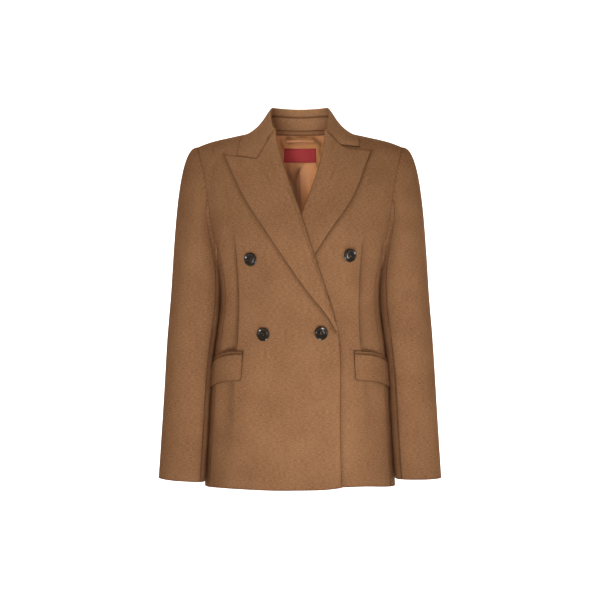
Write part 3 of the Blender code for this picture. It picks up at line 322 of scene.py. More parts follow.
def form_level(z, face):
    """Half width, depth, squareness and shoulder roll of the form at a level."""
    half = look_up(FORM_RINGS, FORM_COLUMNS, "height", "half_width", z)
    front = look_up(FORM_RINGS, FORM_COLUMNS, "height", "front_depth", z)
    back = look_up(FORM_RINGS, FORM_COLUMNS, "height", "back_depth", z)
    is_front = face < 0
    depth = np.where(is_front, front, back)
    square = np.where(is_front, FRONT_SQUARENESS, BACK_SQUARENESS)
    roll = np.where(is_front, FRONT_SHOULDER_ROLL, BACK_SHOULDER_ROLL)
    return half, depth, square, roll


def form_y(x, z, face):
    """Depth of the form at x and z.

    Each level is a squarish oval, (x / half)^n + (y / depth)^n = 1. Above the chest it is drawn in
    toward the shoulder line by the root of 1 - share^roll.
    """
    half, depth, square, roll = form_level(z, face)
    across = np.clip(1 - (np.abs(x) / half) ** square, 0, 1) ** (1 / square)
    over = np.sqrt(np.clip(1 - rise_share(x, z) ** roll, 0, 1))
    return face * depth * across * over


def ring_x(turn, z, face):
    """x on the ring at a turn in degrees from the front centre."""
    half, _, square, _ = form_level(z, face)
    return half * np.abs(np.sin(np.radians(turn))) ** (2 / square)


def ring_y(turn, z, face):
    """y on the ring at a turn in degrees from the front centre, below the chest."""
    _, depth, square, _ = form_level(z, face)
    return face * depth * np.abs(np.cos(np.radians(turn))) ** (2 / square)


def ring_points(turn, z, face):
    """Points on the ring at turns in degrees from the front centre, below the chest."""
    return np.stack([ring_x(turn, z, face), ring_y(turn, z, face), z], -1)


def ring_turn(x, z, face):
    """Turn in degrees, from the front centre, of the point with this x."""
    half, _, square, _ = form_level(z, face)
    turn = np.degrees(np.arcsin(np.clip((np.abs(x) / half) ** (square / 2), 0, 1)))
    return np.where(face < 0, turn, 180 - turn)


def form_level_set(x, y, z):
    """Zero on the form and positive outside it; its slope gives the form's normals."""
    face = np.where(y > 0, 1.0, -1.0)
    half, depth, square, roll = form_level(z, face)
    wide = np.clip(np.abs(x) / half, 0, 0.999)
    deep = np.abs(y) / depth
    low = (np.abs(x) / half) ** square + deep ** square - 1
    across = (1 - wide ** square) ** (1 / square)
    high = rise_share(x, z) ** roll + (deep / across) ** 2 - 1
    return np.where(z > CHEST_HEIGHT + 1e-6, high, low)


def outward(points):
    """Unit normals of the form at its own points, from small steps along the three axes."""
    steps = np.eye(3) * SMALL_STEP
    slopes = [form_level_set(*np.moveaxis(points + s, -1, 0))
              - form_level_set(*np.moveaxis(points - s, -1, 0)) for s in steps]
    normal = np.stack(slopes, -1)
    return normal / np.linalg.norm(normal, axis=-1, keepdims=True)


def front_points(x, z):
    """Points on the front of the form."""
    return np.stack([x, form_y(x, z, np.full_like(x, -1.0)), z], -1)


def back_points(x, z):
    """Points on the back of the form."""
    return np.stack([x, form_y(x, z, np.full_like(x, 1.0)), z], -1)


def mirrored(points, side):
    """Own-side points placed on their side of the garment."""
    return points * np.array([side, 1.0, 1.0])


def side_of(word):
    """1 for the wearer's left, on +X, and -1 for the right."""
    return 1 if word == "left" else -1


def style_of(side):
    """The right front laps on top; the left one lies under it."""
    return "under" if side > 0 else "top"


# ------------------------------------------------------------------ grids to cloth shells

RIM_STEPS = (0.00018, 0.0005, 0.0011, 0.0018)
# width of the painted shade along each piece's edges
EDGE_SHADE_WIDTH = 0.0018
EDGE_RADIUS = 0.0009
FAR = 1.0


def add_rim_columns(grid):
    """Extra columns close to both sides of a grid, so that its edges can be rounded.

    A new point lies a fixed distance in from the edge, on the straight line to the next column.
    """
    steps = np.array(RIM_STEPS)
    near = grid[:, 1:2] - grid[:, :1]
    far = grid[:, -2:-1] - grid[:, -1:]
    near_unit = near / np.maximum(np.linalg.norm(near, axis=-1, keepdims=True), 1e-9)
    far_unit = far / np.maximum(np.linalg.norm(far, axis=-1, keepdims=True), 1e-9)
    first = grid[:, :1] + near_unit * steps[None, :, None]
    last = grid[:, -1:] + far_unit * steps[::-1][None, :, None]
    return np.concatenate([grid[:, :1], first, grid[:, 1:-1], last, grid[:, -1:]], axis=1)


def with_rim(grid):
    """A grid with rim columns and rim rows."""
    return np.swapaxes(add_rim_columns(np.swapaxes(add_rim_columns(grid), 0, 1)), 0, 1)


def rim_places(places):
    """A row of places with those of the rim columns added."""
    return add_rim_columns(np.repeat(places[None, :, None], 2, 0))[0, :, 0]


def rim_distance(shape, sides="nesw"):
    """Distance of each point of a rimmed grid from its rounded edges, 0 on them.

    sides names the edges that count: n is the first row, s the last, w the first column and
    e the last. Points further in than the rim have a large distance.
    """
    ramp = np.array((0.0,) + RIM_STEPS)
    rows = np.full(shape[0], FAR)
    columns = np.full(shape[1], FAR)
    for word, line in (("n", rows), ("s", rows[::-1]), ("w", columns), ("e", columns[::-1])):
        if word in sides:
            line[:len(ramp)] = ramp
    return np.minimum(rows[:, None], columns[None, :])


def rim_drop(distance, radius):
    """How far a rounded edge has fallen at a distance in from it: a quarter circle."""
    inside = np.clip(radius - distance, 0, radius)
    return radius - np.sqrt(radius ** 2 - inside ** 2)


def grid_faces(rows, columns, closed):
    """Quads of a grid as an array; closed joins the last column to the first."""
    index = np.arange(rows * columns).reshape(rows, columns)
    if closed:
        index = np.concatenate([index, index[:, :1]], axis=1)
    corners = (index[:-1, :-1], index[:-1, 1:], index[1:, 1:], index[1:, :-1])
    return np.stack(corners, -1).reshape(-1, 4)


def shell_faces(rows, columns):
    """Quads of two skins of the same grid and of the strips that join their rims."""
    count = rows * columns
    index = np.arange(count).reshape(rows, columns)
    skin = grid_faces(rows, columns, False)
    parts = [skin, skin[:, ::-1] + count]
    top, foot = index[0], index[-1]
    parts.append(np.stack([top[1:], top[:-1], top[:-1] + count, top[1:] + count], -1))
    parts.append(np.stack([foot[:-1], foot[1:], foot[1:] + count, foot[:-1] + count], -1))
    left, right = index[:, 0], index[:, -1]
    parts.append(np.stack([left[:-1], left[1:], left[1:] + count, left[:-1] + count], -1))
    parts.append(np.stack([right[1:], right[:-1], right[:-1] + count, right[1:] + count], -1))
    return np.concatenate(parts)


def add_object(name, data):
    """A new object on the scene from its mesh, lamp or camera."""
    made = bpy.data.objects.new(name, data)
    bpy.context.scene.collection.objects.link(made)
    return made


def mesh_object(name, vertices, quads, uv=None, painted_shade=None):
    """A smooth mesh object from arrays.

    uv, if given, is one pair of metres a vertex; painted_shade is the share of painted shade a
    vertex, 1 on an edge, kept as a point attribute that the cloth and lining darken by.
    """
    mesh = bpy.data.meshes.new(name)
    mesh.vertices.add(len(vertices))
    mesh.vertices.foreach_set("co", np.ascontiguousarray(vertices, np.float32).ravel())
    mesh.loops.add(quads.size)
    mesh.loops.foreach_set("vertex_index", quads.astype(np.int32).ravel())
    mesh.polygons.add(len(quads))
    mesh.polygons.foreach_set("loop_start", np.arange(0, quads.size, 4, dtype=np.int32))
    if uv is not None:
        layer = mesh.uv_layers.new(name="weave")
        layer.uv.foreach_set("vector", uv[quads.ravel()].astype(np.float32).ravel())
    if painted_shade is not None:
        marks = mesh.attributes.new("painted_shade", "FLOAT", "POINT")
        marks.data.foreach_set("value", painted_shade.astype(np.float32))
    mesh.update(calc_edges=True)
    mesh.validate()
    mesh.shade_smooth()
    return add_object(name, mesh)


def cloth_uv(grid):
    """Weave coordinates in metres: run along the rows and along the columns of a grid.

    Each is the running length between neighbours, taken along the middle row and column, so that
    the threads follow the cut of the piece.
    """
    rows, columns = grid.shape[:2]
    across = np.linalg.norm(np.diff(grid, axis=1), axis=-1)
    along = np.linalg.norm(np.diff(grid, axis=0), axis=-1)
    u = np.concatenate([np.zeros((rows, 1)), np.cumsum(across, 1)], 1)
    u = u - u[:, columns // 2][:, None]
    v = np.concatenate([np.zeros((1, columns)), np.cumsum(along, 0)], 0)
    v = v - v[rows // 2][None, :]
    return np.stack([u, v], -1)


def edge_shade(grid, width, soft_rows):
    """Share of painted shade at each point of a grid: a hump of the run in from the nearest edge.

    soft_rows is 1 on the rows whose first column is a soft fold and not a sharp edge; that edge
    gets no painted shade.
    """
    across = np.linalg.norm(np.diff(grid, axis=1), axis=-1)
    along = np.linalg.norm(np.diff(grid, axis=0), axis=-1)
    right = np.pad(np.cumsum(across, 1), ((0, 0), (1, 0)))
    down = np.pad(np.cumsum(along, 0), ((1, 0), (0, 0)))
    first = right + np.reshape(soft_rows, (-1, 1))
    runs = (first, right[:, -1:] - right, down, down[-1:] - down)
    return hump(np.minimum.reduce(runs) / width)


def make_shell(name, outer, inner, soft_rows=0.0, marks=0.0):
    """A closed cloth piece from its outer and inner skins, faces pointing out of the cloth.

    The skins are grids of the same size. The sign of the enclosed volume tells whether the faces
    have to be turned round.
    """
    rows, columns = outer.shape[:2]
    vertices = np.concatenate([outer.reshape(-1, 3), inner.reshape(-1, 3)])
    quads = shell_faces(rows, columns)
    a, b, c, d = (vertices[quads[:, k]] for k in range(4))
    volume = np.sum(np.cross(a, b) * c) + np.sum(np.cross(a, c) * d)
    if volume < 0:
        quads = quads[:, ::-1]
    uv = cloth_uv(outer).reshape(-1, 2)
    # painted shade: the edge shade, or the marks given where they are more, a share a vertex
    painted_shade = np.maximum(edge_shade(outer, EDGE_SHADE_WIDTH, soft_rows), marks)
    painted_shade = np.tile(painted_shade.ravel(), 2)
    return mesh_object(name, vertices, quads, np.concatenate([uv, uv]), painted_shade)


# ------------------------------------------------------------------ creases

# columns of every table of creases: x, height, lean in degrees, length, width, depth
FRONT_FOLDS = (
    (-0.1670, -0.0850, 10.0, 0.0260, 0.0050, -0.0022),
    (-0.1560, -0.0980, 14.0, 0.0300, 0.0080, 0.0010),
    (0.0700, -0.2350, -32.0, 0.0300, 0.0060, -0.0012),
    (0.0560, -0.2520, -28.0, 0.0260, 0.0085, -0.0014),
    (-0.0690, -0.4230, -14.0, 0.0180, 0.0050, -0.0010),
    (-0.0520, -0.4200, -24.0, 0.0200, 0.0060, -0.0008),
    (0.0240, -0.4220, 12.0, 0.0200, 0.0060, -0.0008),
    (-0.0920, -0.5300, 2.0, 0.1300, 0.0170, 0.0016),
    (-0.0480, -0.5600, -5.0, 0.1000, 0.0150, -0.0011),
    (0.0240, -0.5450, 6.0, 0.1100, 0.0190, 0.0009),
    (-0.0150, -0.4900, -9.0, 0.0700, 0.0140, -0.0007),
    (0.1000, -0.5500, -3.0, 0.1000, 0.0120, 0.0009),
    (0.0720, -0.3100, 4.0, 0.0700, 0.0110, -0.0008),
    (-0.0150, -0.3500, -62.0, 0.0600, 0.0090, -0.0006),
    (-0.0850, -0.3300, 20.0, 0.0500, 0.0120, -0.0007),
    (0.1180, -0.1900, 24.0, 0.0600, 0.0140, -0.0012),
    (-0.1220, -0.2000, -20.0, 0.0550, 0.0150, -0.0010),
)
BACK_FOLDS = (
    (-0.0650, -0.3200, 76.0, 0.0600, 0.0100, -0.0012),
    (0.0720, -0.3350, -80.0, 0.0500, 0.0090, -0.0010),
    (-0.1000, -0.5500, 3.0, 0.1200, 0.0180, 0.0014),
    (0.0880, -0.5700, -4.0, 0.1100, 0.0160, 0.0012),
    (-0.0350, -0.5900, -2.0, 0.0900, 0.0140, -0.0010),
    (0.0420, -0.6000, 3.0, 0.0800, 0.0150, -0.0009),
    (-0.1350, -0.1600, 18.0, 0.0550, 0.0110, -0.0018),
    (0.1380, -0.1500, -16.0, 0.0600, 0.0120, -0.0016),
    (0.0300, -0.1200, 84.0, 0.0500, 0.0140, -0.0007),
    (-0.1050, -0.2500, 40.0, 0.0450, 0.0100, 0.0009),
)
# on the sleeves the first column is the turn round the arm in degrees
SLEEVE_FOLDS = {
    "right": (
        (108.0, -0.4550, 68.0, 0.0260, 0.0070, -0.0016),
        (112.0, -0.4800, 80.0, 0.0220, 0.0060, -0.0012),
        (60.0, -0.3100, 12.0, 0.0900, 0.0140, 0.0010),
        (30.0, -0.4300, -5.0, 0.1400, 0.0130, 0.0012),
        (350.0, -0.5600, 3.0, 0.1200, 0.0160, -0.0009),
        (70.0, -0.5900, -4.0, 0.0800, 0.0120, -0.0007),
        (250.0, -0.4300, 62.0, 0.0260, 0.0100, -0.0014),
        (290.0, -0.3200, -12.0, 0.0800, 0.0150, 0.0012),
        (180.0, -0.3000, 30.0, 0.0400, 0.0100, -0.0016),
    ),
    "left": (
        (104.0, -0.4700, 72.0, 0.0240, 0.0070, -0.0014),
        (114.0, -0.4400, 62.0, 0.0240, 0.0060, -0.0013),
        (55.0, -0.2900, 8.0, 0.0800, 0.0130, 0.0011),
        (25.0, -0.4800, 4.0, 0.1500, 0.0140, 0.0010),
        (335.0, -0.6000, -3.0, 0.1000, 0.0150, -0.0009),
        (62.0, -0.5600, 5.0, 0.0900, 0.0120, -0.0008),
        (255.0, -0.4500, -58.0, 0.0280, 0.0100, -0.0013),
        (285.0, -0.3400, 10.0, 0.0800, 0.0150, 0.0012),
        (185.0, -0.3150, -26.0, 0.0400, 0.0100, -0.0016),
    ),
}
SLEEVE_GIRTH = 0.33
CREASE_ARC = 0.12


def fold_sum(across, up, folds):
    """Stand of soft creases at each point: a sum of long humps.

    A crease is a hump along its own line, which leans off the vertical by its angle and bows a
    little, times a narrower hump across that line. Depths below 0 are troughs.
    """
    total = np.zeros(np.shape(across))
    for x, z, lean, length, width, depth in folds:
        angle = math.radians(lean)
        dx = across - x
        dz = up - z
        along = dz * math.cos(angle) + dx * math.sin(angle)
        over = dx * math.cos(angle) - dz * math.sin(angle)
        bow = over - CREASE_ARC * along ** 2 / length
        total = total + depth * hump(along / length) * hump(bow / width)
    return total * settings().crease_depth


def body_folds(points):
    """Stand of the creases on fronts, sides and backs."""
    x, y, z = np.moveaxis(points, -1, 0)
    front = fold_sum(x, z, FRONT_FOLDS)
    back = fold_sum(x, z, BACK_FOLDS)
    return np.where(y < 0, front, back)


# ------------------------------------------------------------------ body panels

LEVELS_BELOW = np.union1d(np.linspace(HEM_HEIGHT, CHEST_HEIGHT, 131), [BREAK_HEIGHT])
SHARES_ABOVE = np.union1d(
    np.concatenate([np.linspace(0, 0.86, 54)[1:],
                    np.sin(np.radians(np.linspace(60.0, 90.0, 26)))]),
    [math.sin(math.radians(SEAM_RISE))])
INNER_SHARES = np.union1d(np.linspace(0, 1, 53)[:-1], [0.978, 0.988, 0.9935, 0.9975])
OUTER_SHARES = np.union1d(np.linspace(0, 1, 21), [0.007, 0.02, 0.035])
SIDE_SHARES = np.linspace(0, 1, 31)
SHOULDER_MIDDLE = 0.13
NEAR_SHOULDER = 0.9
SHOULDER_FADE = 0.1
ARMHOLE_LOOK_UPS = 8
BACK_SPLIT = 0.66
FOLD_LINE_TOP = -0.050


def break_x(z, style):
    """Own-side x of the fold where the front turns back as a lapel."""
    line = TOP_BREAK if style == "top" else UNDER_BREAK
    bow = FOLD_BOW[style] * np.sin(np.pi * np.clip((z - FOLD_BOW_FOOT) / FOLD_BOW_SPAN, 0, 1))
    return abs(line["x"]) - (line["height"] - z) * line["slope"] + bow


def front_lift(x, side, style):
    """How far a front stands off the form, so that one front laps clear over the other."""
    share = smooth_step((LIFT_END - side * x) / (LIFT_END - LIFT_START))
    return TOP_LIFT * share if style == "top" else -UNDER_DROP * share


def dart_x(z, style):
    """Own-side x of the dart and of the line that carries it on up and down."""
    shift = DART_SHIFT[style] * smooth_step((DART_SHIFT_TOP - z) / DART_SHIFT_FADE)
    return look_up(DART_LINE, DART_COLUMNS, "height", "x", z) + shift


def at_shoulder(share):
    """1 on the shoulder seam, fading to 0 a tenth of the rise below it."""
    return smooth_step((share - NEAR_SHOULDER) / SHOULDER_FADE)


def armhole_x(share, which):
    """Own-side x of the armhole edge at each share of the rise, found by repeated look-ups."""
    x = np.full_like(share, SHOULDER_END)
    for _ in range(ARMHOLE_LOOK_UPS):
        wanted = look_up(ARMHOLE, ARMHOLE_COLUMNS, "height", which, rising_z(x, share))
        x = wanted * (1 - at_shoulder(share)) + SHOULDER_END * at_shoulder(share)
    return x


def neck_x(share, line):
    """Own-side x of a neckline, given as points, at each share of the rise."""
    x = np.array([point[0] for point in line])
    z = np.array([point[1] for point in line])
    return np.interp(share, rise_share(x, z), x)


def two_spans(first, middle, last, inner, outer):
    """Columns at the inner shares from first to middle and at the outer ones to last."""
    left = first[:, None] + (middle - first)[:, None] * inner
    right = middle[:, None] + (last - middle)[:, None] * outer
    return np.concatenate([left, right], axis=1)


def to_hem(points, style):
    """Bring the lowest rows of an own-side grid to the hem line, fading out upward."""
    wanted = look_up(HEM_LINE, HEM_COLUMNS, "x", style + "_height", points[..., 0])
    fade = smooth_step((HEM_HEIGHT + HEM_FADE - points[..., 2]) / HEM_FADE)
    moved = points.copy()
    moved[..., 2] += (wanted - HEM_HEIGHT) * fade
    return moved


def panel_grid(grid, side, hem):
    """An own-side grid with its rim, brought to a hem line and placed on its side."""
    return mirrored(to_hem(with_rim(grid), hem), side)


def seam_turn(z, which):
    """Turn of a side seam in degrees at a height."""
    return look_up(SIDE_SEAMS, SEAM_COLUMNS, "height", which, z)


def front_edge_x(z, style):
    """Own-side x of a front's free edge below the break, beyond the centre line."""
    return -np.abs(look_up(FRONT_EDGES, EDGE_COLUMNS, "height", style + "_x", z))


def front_grid(style):
    """Own-side points of a front, hem to shoulder, front edge to side seam and armhole.

    Below the chest the columns run from the front edge to the dart line by x, and on to the side
    seam by turn; above it they run from the fold or neckline to the armhole by x.
    """
    z = LEVELS_BELOW
    edge = np.where(z < BREAK_HEIGHT, front_edge_x(z, style), break_x(z, style))
    seam = seam_turn(z, "front_seam")
    dart_turn = ring_turn(dart_x(z, style), z, np.full_like(z, -1.0))
    x_in = edge[:, None] + (dart_x(z, style) - edge)[:, None] * INNER_SHARES
    inner = front_points(x_in, np.broadcast_to(z[:, None], x_in.shape))
    turns = dart_turn[:, None] + (seam - dart_turn)[:, None] * OUTER_SHARES
    level = np.broadcast_to(z[:, None], turns.shape)
    face = np.full_like(turns, -1.0)
    outer = ring_points(turns, level, face)
    below = np.concatenate([inner, outer], 1)
    share = SHARES_ABOVE
    fold_z = np.linspace(CHEST_HEIGHT, FOLD_LINE_TOP, 12)
    line = list(zip(break_x(fold_z, style), fold_z)) + list(NECKLINE_FRONT)
    line.append((NECK_POINT, float(ridge_height(NECK_POINT))))
    middle = dart_x(rising_z(SHOULDER_MIDDLE, share), style)
    x = two_spans(neck_x(share, line), middle, armhole_x(share, "front_x"), INNER_SHARES,
                  OUTER_SHARES)
    above = front_points(x, rising_z(x, share[:, None]))
    return np.concatenate([below, above], 0)


def back_grid():
    """Own-side points of a back, hem to shoulder, centre seam to side seam and armhole."""
    z = LEVELS_BELOW
    seam = seam_turn(z, "back_seam")
    shares = np.concatenate([INNER_SHARES * BACK_SPLIT,
                             BACK_SPLIT + (1 - BACK_SPLIT) * OUTER_SHARES])
    turns = 180 + (seam - 180)[:, None] * shares
    level = np.broadcast_to(z[:, None], turns.shape)
    face = np.full_like(turns, 1.0)
    below = ring_points(turns, level, face)
    share = SHARES_ABOVE
    line = list(NECKLINE_BACK) + [(NECK_POINT, float(ridge_height(NECK_POINT)))]
    first = neck_x(share, line)
    last = armhole_x(share, "back_x")
    middle = first + (last - first) * BACK_SPLIT
    top = dart_x(rising_z(SHOULDER_MIDDLE, np.array([1.0])), "under")[0]
    middle = middle * (1 - at_shoulder(share)) + top * at_shoulder(share)
    x = two_spans(first, middle, last, INNER_SHARES, OUTER_SHARES)
    above = back_points(x, rising_z(x, share[:, None]))
    return np.concatenate([below, above], 0)


def side_grid():
    """Own-side points of the panel under the arm, its top dipping as the armhole's foot."""
    z = LEVELS_BELOW
    front, back = seam_turn(z, "front_seam"), seam_turn(z, "back_seam")
    across = (1 - np.cos(np.pi * SIDE_SHARES)) / 2
    turns = front[:, None] + (back - front)[:, None] * across
    dip = ARMHOLE_DIP * np.sin(np.pi * SIDE_SHARES)
    rise = (z - z[0]) / (z[-1] - z[0])
    level = z[:, None] - dip[None, :] * rise[:, None]
    face = np.where(turns > 90, 1.0, -1.0)
    return ring_points(turns, level, face)


SIDE_TURN = {"top": 0.0060, "under": 0.0046}
SIDE_TURN_TOP = -0.190
FLAP_MIDDLE = -0.478
SIDE_TURN_FOOT = -0.640
# painted contact shade beside a lapel's edge and beside the top front's edge
CONTACT_SHADE_WIDTH = 0.0052
CONTACT_SHADE_SHARE = 0.34
EDGE_GROOVE = 0.0013
EDGE_GROOVE_WIDTH = 0.0017
BREAK_FADE = 0.02
PRESSED_EDGE_STAND = 0.0005
PRESSED_EDGE_WIDTH = 0.0055
PRESSED_EDGE_FADE = 0.0016
DART_GROOVE_DEPTH = 0.0008
DART_GROOVE_WIDTH = 0.0014
# painted shade along the stitched dart
DART_SHADE_SHARE = 0.7
DART_SHADE_WIDTH = 0.0012
DART_FADE = 0.02
SIDE_TURN_FADES = (0.06, 0.10)
FLAP_FADE = 0.03
STEEP_SCALE = 6.75
ROUNDED_SCALE = 16


def dart_groove(points, side):
    """Depth of the stitched dart: a narrow groove, deepest at the waist."""
    own = side * points[..., 0]
    z = points[..., 2]
    middle = (DART_TOP + DART_FOOT) / 2
    along = np.clip(1 - ((z - middle) / (DART_TOP - middle)) ** 2, 0, 1)
    off = own - dart_x(z, style_of(side))
    groove = DART_GROOVE_DEPTH * hump(off / DART_GROOVE_WIDTH) * along ** 0.5
    return groove * (points[..., 1] < 0)


def dart_shade(points, side):
    """Share of painted shade along the stitched dart: a narrow dark line that fades at its two
    ends.
    """
    z = points[..., 2]
    along = smooth_step((DART_TOP - z) / DART_FADE) * smooth_step((z - DART_FOOT) / DART_FADE)
    off = side * points[..., 0] - dart_x(z, style_of(side))
    return DART_SHADE_SHARE * hump(off / DART_SHADE_WIDTH) * along


def side_turn(points, side):
    """Depth of the turn past the dart, where the front bends away towards the side.

    It drops steeply right at the dart line and comes back to nothing by the side seam: the share
    s of the way gives s (1 - s) squared, scaled to reach 1. Below the pocket, where no dart is
    stitched, it starts gently: s squared (1 - s) squared, scaled to reach 1.
    """
    own = side * points[..., 0]
    z = points[..., 2]
    level = np.clip(z, HEM_HEIGHT, CHEST_HEIGHT)
    seam = seam_turn(level, "front_seam")
    dart = dart_x(z, style_of(side))
    end = ring_x(seam, level, np.full_like(z, -1.0))
    share = np.clip((own - dart) / (end - dart), 0, 1)
    upper, lower = SIDE_TURN_FADES
    along = smooth_step((SIDE_TURN_TOP - z) / upper) * smooth_step((z - SIDE_TURN_FOOT) / lower)
    most = SIDE_TURN[style_of(side)]
    steep = STEEP_SCALE * share * (1 - share) ** 2
    rounded = ROUNDED_SCALE * share ** 2 * (1 - share) ** 2
    above_flap = smooth_step((z - FLAP_MIDDLE) / FLAP_FADE)
    return most * along * (above_flap * steep + (1 - above_flap) * rounded)


def line_distance(x, z, line):
    """Distance of points from a polyline, all in the own-side front plane."""
    start = line[:-1]
    step = line[1:] - start
    length = np.sum(step ** 2, axis=1)
    off_x = x[..., None] - start[:, 0]
    off_z = z[..., None] - start[:, 1]
    share = np.clip((off_x * step[:, 0] + off_z * step[:, 1]) / length, 0, 1)
    return np.hypot(off_x - share * step[:, 0], off_z - share * step[:, 1]).min(-1)


def lapel_edge(style):
    """Own-side points (x, z) along a lapel's free edge."""
    return run_along(LAPEL_EDGES[style], np.linspace(0, 1, 41))


def below_break(z):
    """1 where the fronts lie flat under the lapels' break, 0 above it, with a short fade."""
    return smooth_step((BREAK_HEIGHT + BREAK_FADE / 2 - z) / BREAK_FADE)


def lapel_groove(points, side, style):
    """Depth of the line that a lapel's pressed edge leaves in the cloth under it."""
    line = np.concatenate([[NOTCHES[style]], lapel_edge(style)])
    off = line_distance(side * points[..., 0], points[..., 2], line)
    return EDGE_GROOVE * hump(off / EDGE_GROOVE_WIDTH)


def contact_shade(points, side, style):
    """Share of painted contact shade on a front beside what lies on it: a lapel or the other front.
    """
    x, z = side * points[..., 0], points[..., 2]
    shade = hump(line_distance(x, z, lapel_edge(style)) / CONTACT_SHADE_WIDTH)
    if style == "under":
        top = -front_edge_x(np.minimum(z, BREAK_HEIGHT), "top")
        shade = np.maximum(shade, hump((x - top) / CONTACT_SHADE_WIDTH) * below_break(z))
    return CONTACT_SHADE_SHARE * shade * (points[..., 1] < 0)


def edge_ridge(points, side, style):
    """Stand of the pressed front edge, which falls off a finger's width inside it."""
    own = side * points[..., 0]
    z = points[..., 2]
    inside = own - front_edge_x(np.minimum(z, BREAK_HEIGHT), style)
    return below_break(z) * (PRESSED_EDGE_STAND * (1 - smooth_step(
        (inside - PRESSED_EDGE_WIDTH) / PRESSED_EDGE_FADE)))


def lay_on_form(name, grid, lift, wall, radius=EDGE_RADIUS, soft_rows=0.0, marks=0.0):
    """A cloth piece on the form from a rimmed grid, with its edges rounded.

    Outer skin: the form's points moved along its normals by lift, less the fall of the rounded
    edge. Inner skin: the same points moved by lift less the wall.
    """
    normal = outward(grid)
    fall = rim_drop(rim_distance(grid.shape[:2]), radius)
    lift = np.broadcast_to(lift, grid.shape[:2])
    outer = grid + normal * (lift - fall)[..., None]
    inner = grid + normal * (lift - wall)[..., None]
    # marks is painted shade a vertex, handed on with the edges' own
    return make_shell(name, outer, inner, soft_rows=soft_rows, marks=marks)


def make_front(word):
    """One front with its dart, pressed edge, hem and soft creases."""
    side = side_of(word)
    style = style_of(side)
    grid = panel_grid(front_grid(style), side, style)
    lift = front_lift(grid[..., 0], side, style) - dart_groove(grid, side)
    lift = lift + body_folds(grid) * fold_room(grid) + edge_ridge(grid, side, style)
    lift = lift - side_turn(grid, side) - lapel_groove(grid, side, style)
    soft_rows = (grid[:, 0, 2] > BREAK_HEIGHT).astype(float)
    # painted shade along the dart and beside the lapel and the top front
    marks = np.maximum(dart_shade(grid, side), contact_shade(grid, side, style))
    return lay_on_form("front_cloth_" + word, grid, lift, WALL, soft_rows=soft_rows, marks=marks)


ROOM_COLUMNS = 5.0
ROOM_ROWS = 4.0
ROOM_ROWS_SPARED = 3


def fold_room(grid):
    """Share of the creases' stand kept at each point: none right at the seams and edges."""
    rows, columns = grid.shape[:2]
    row = np.minimum(np.arange(rows), np.arange(rows)[::-1])[:, None]
    col = np.minimum(np.arange(columns), np.arange(columns)[::-1])[None, :]
    rim = len(RIM_STEPS) + 1
    to_seam = smooth_step((col - rim) / ROOM_COLUMNS)
    return to_seam * smooth_step((row - rim + ROOM_ROWS_SPARED) / ROOM_ROWS)


def make_side(word):
    """One side panel."""
    side = side_of(word)
    grid = panel_grid(side_grid(), side, style_of(side))
    return lay_on_form("side_cloth_" + word, grid, 0.0, WALL)


def make_back(word):
    """One half of the back with its soft creases."""
    side = side_of(word)
    grid = panel_grid(back_grid(), side, BACK_HEM)
    lift = body_folds(grid) * fold_room(grid)
    return lay_on_form("back_cloth_" + word, grid, lift, WALL)


# ------------------------------------------------------------------ sleeves

CAP_SHARES = np.linspace(0, 1, 49)[:-1]
ARMHOLE_POINTS = 400
ARMHOLE_SMOOTHING = 0.004
ARMHOLE_TUCK = np.array((0.0030, 0.0015))
TUCK_SLOPE = 0.5
CUFF_FADE = 0.06
CREASE_START = 0.09
CREASE_FADE = 0.06
SLEEVE_RADIUS_SHARE = 0.6
WELL_DOWN = -20
ARM_LEVELS = np.linspace(SLEEVE_TOP, SLEEVE_FOOT, 112)


def sleeve_turns(part, word):
    """Turns of a sleeve part's columns, from seam to seam round the arm."""
    seam = FOREARM_SEAM_TURN[word]
    if part == "under_sleeve_":
        return np.linspace(seam, HIND_SEAM_TURN, 45)
    return np.union1d(np.linspace(HIND_SEAM_TURN - 360, seam, 97), [0.0])


def armhole_ring(word):
    """Own-side armhole points from the shoulder, down the front, under and up the back.

    Returns the points and the turn round the sleeve of each, which runs with the length of the
    edge between the marks: shoulder, forearm seam, foot of the front, foot of the back, hind seam.
    The points are evened out along the edge by a bell-shaped average 4 mm wide.
    """
    above = len(SHARES_ABOVE)
    front = front_grid("top")[-above - 1:, -1][::-1]
    back = back_grid()[-above - 1:, -1]
    under = side_grid()[-1, 1:-1]
    ring = np.concatenate([front, under, back[:-1]])
    ring[0] = (front[0] + back[-1]) / 2
    seam_row = int(np.argmin(np.abs(SHARES_ABOVE - math.sin(math.radians(SEAM_RISE))))) + 1
    closed = np.concatenate([ring, ring[:1]])
    run = np.concatenate([[0], np.cumsum(np.linalg.norm(np.diff(closed, axis=0), axis=1))])
    back_foot = len(front) + len(under)
    marks = [0, above - seam_row, len(front) - 1, back_foot, back_foot + seam_row, len(ring)]
    turn_marks = [0, FOREARM_SEAM_TURN[word], *UNDERARM_TURNS, HIND_SEAM_TURN, 360]
    even = np.linspace(0, run[-1], ARMHOLE_POINTS + 1)
    points = np.stack([np.interp(even, run, closed[:, k]) for k in range(3)], -1)[:-1]
    gap = np.arange(ARMHOLE_POINTS)
    gap = np.minimum(gap, ARMHOLE_POINTS - gap) * even[1]
    weight = hump(gap / ARMHOLE_SMOOTHING)
    weight = np.fft.fft(weight / weight.sum())[:, None]
    points = np.real(np.fft.ifft(np.fft.fft(points, axis=0) * weight, axis=0))
    turns = np.interp(even, run[marks], turn_marks)
    return np.concatenate([points, points[:1]]), turns


def blend_by_turn(turns, parts):
    """Mix of the values for top, front, bottom and back, by squared cosine and sine of the turn."""
    c = np.cos(np.radians(turns))
    s = np.sin(np.radians(turns))
    weights = {"top": np.clip(c, 0, 1) ** 2, "bottom": np.clip(-c, 0, 1) ** 2,
               "front": np.clip(s, 0, 1) ** 2, "back": np.clip(-s, 0, 1) ** 2}
    return sum(np.multiply.outer(weights[key], np.array(parts[key])) for key in weights)


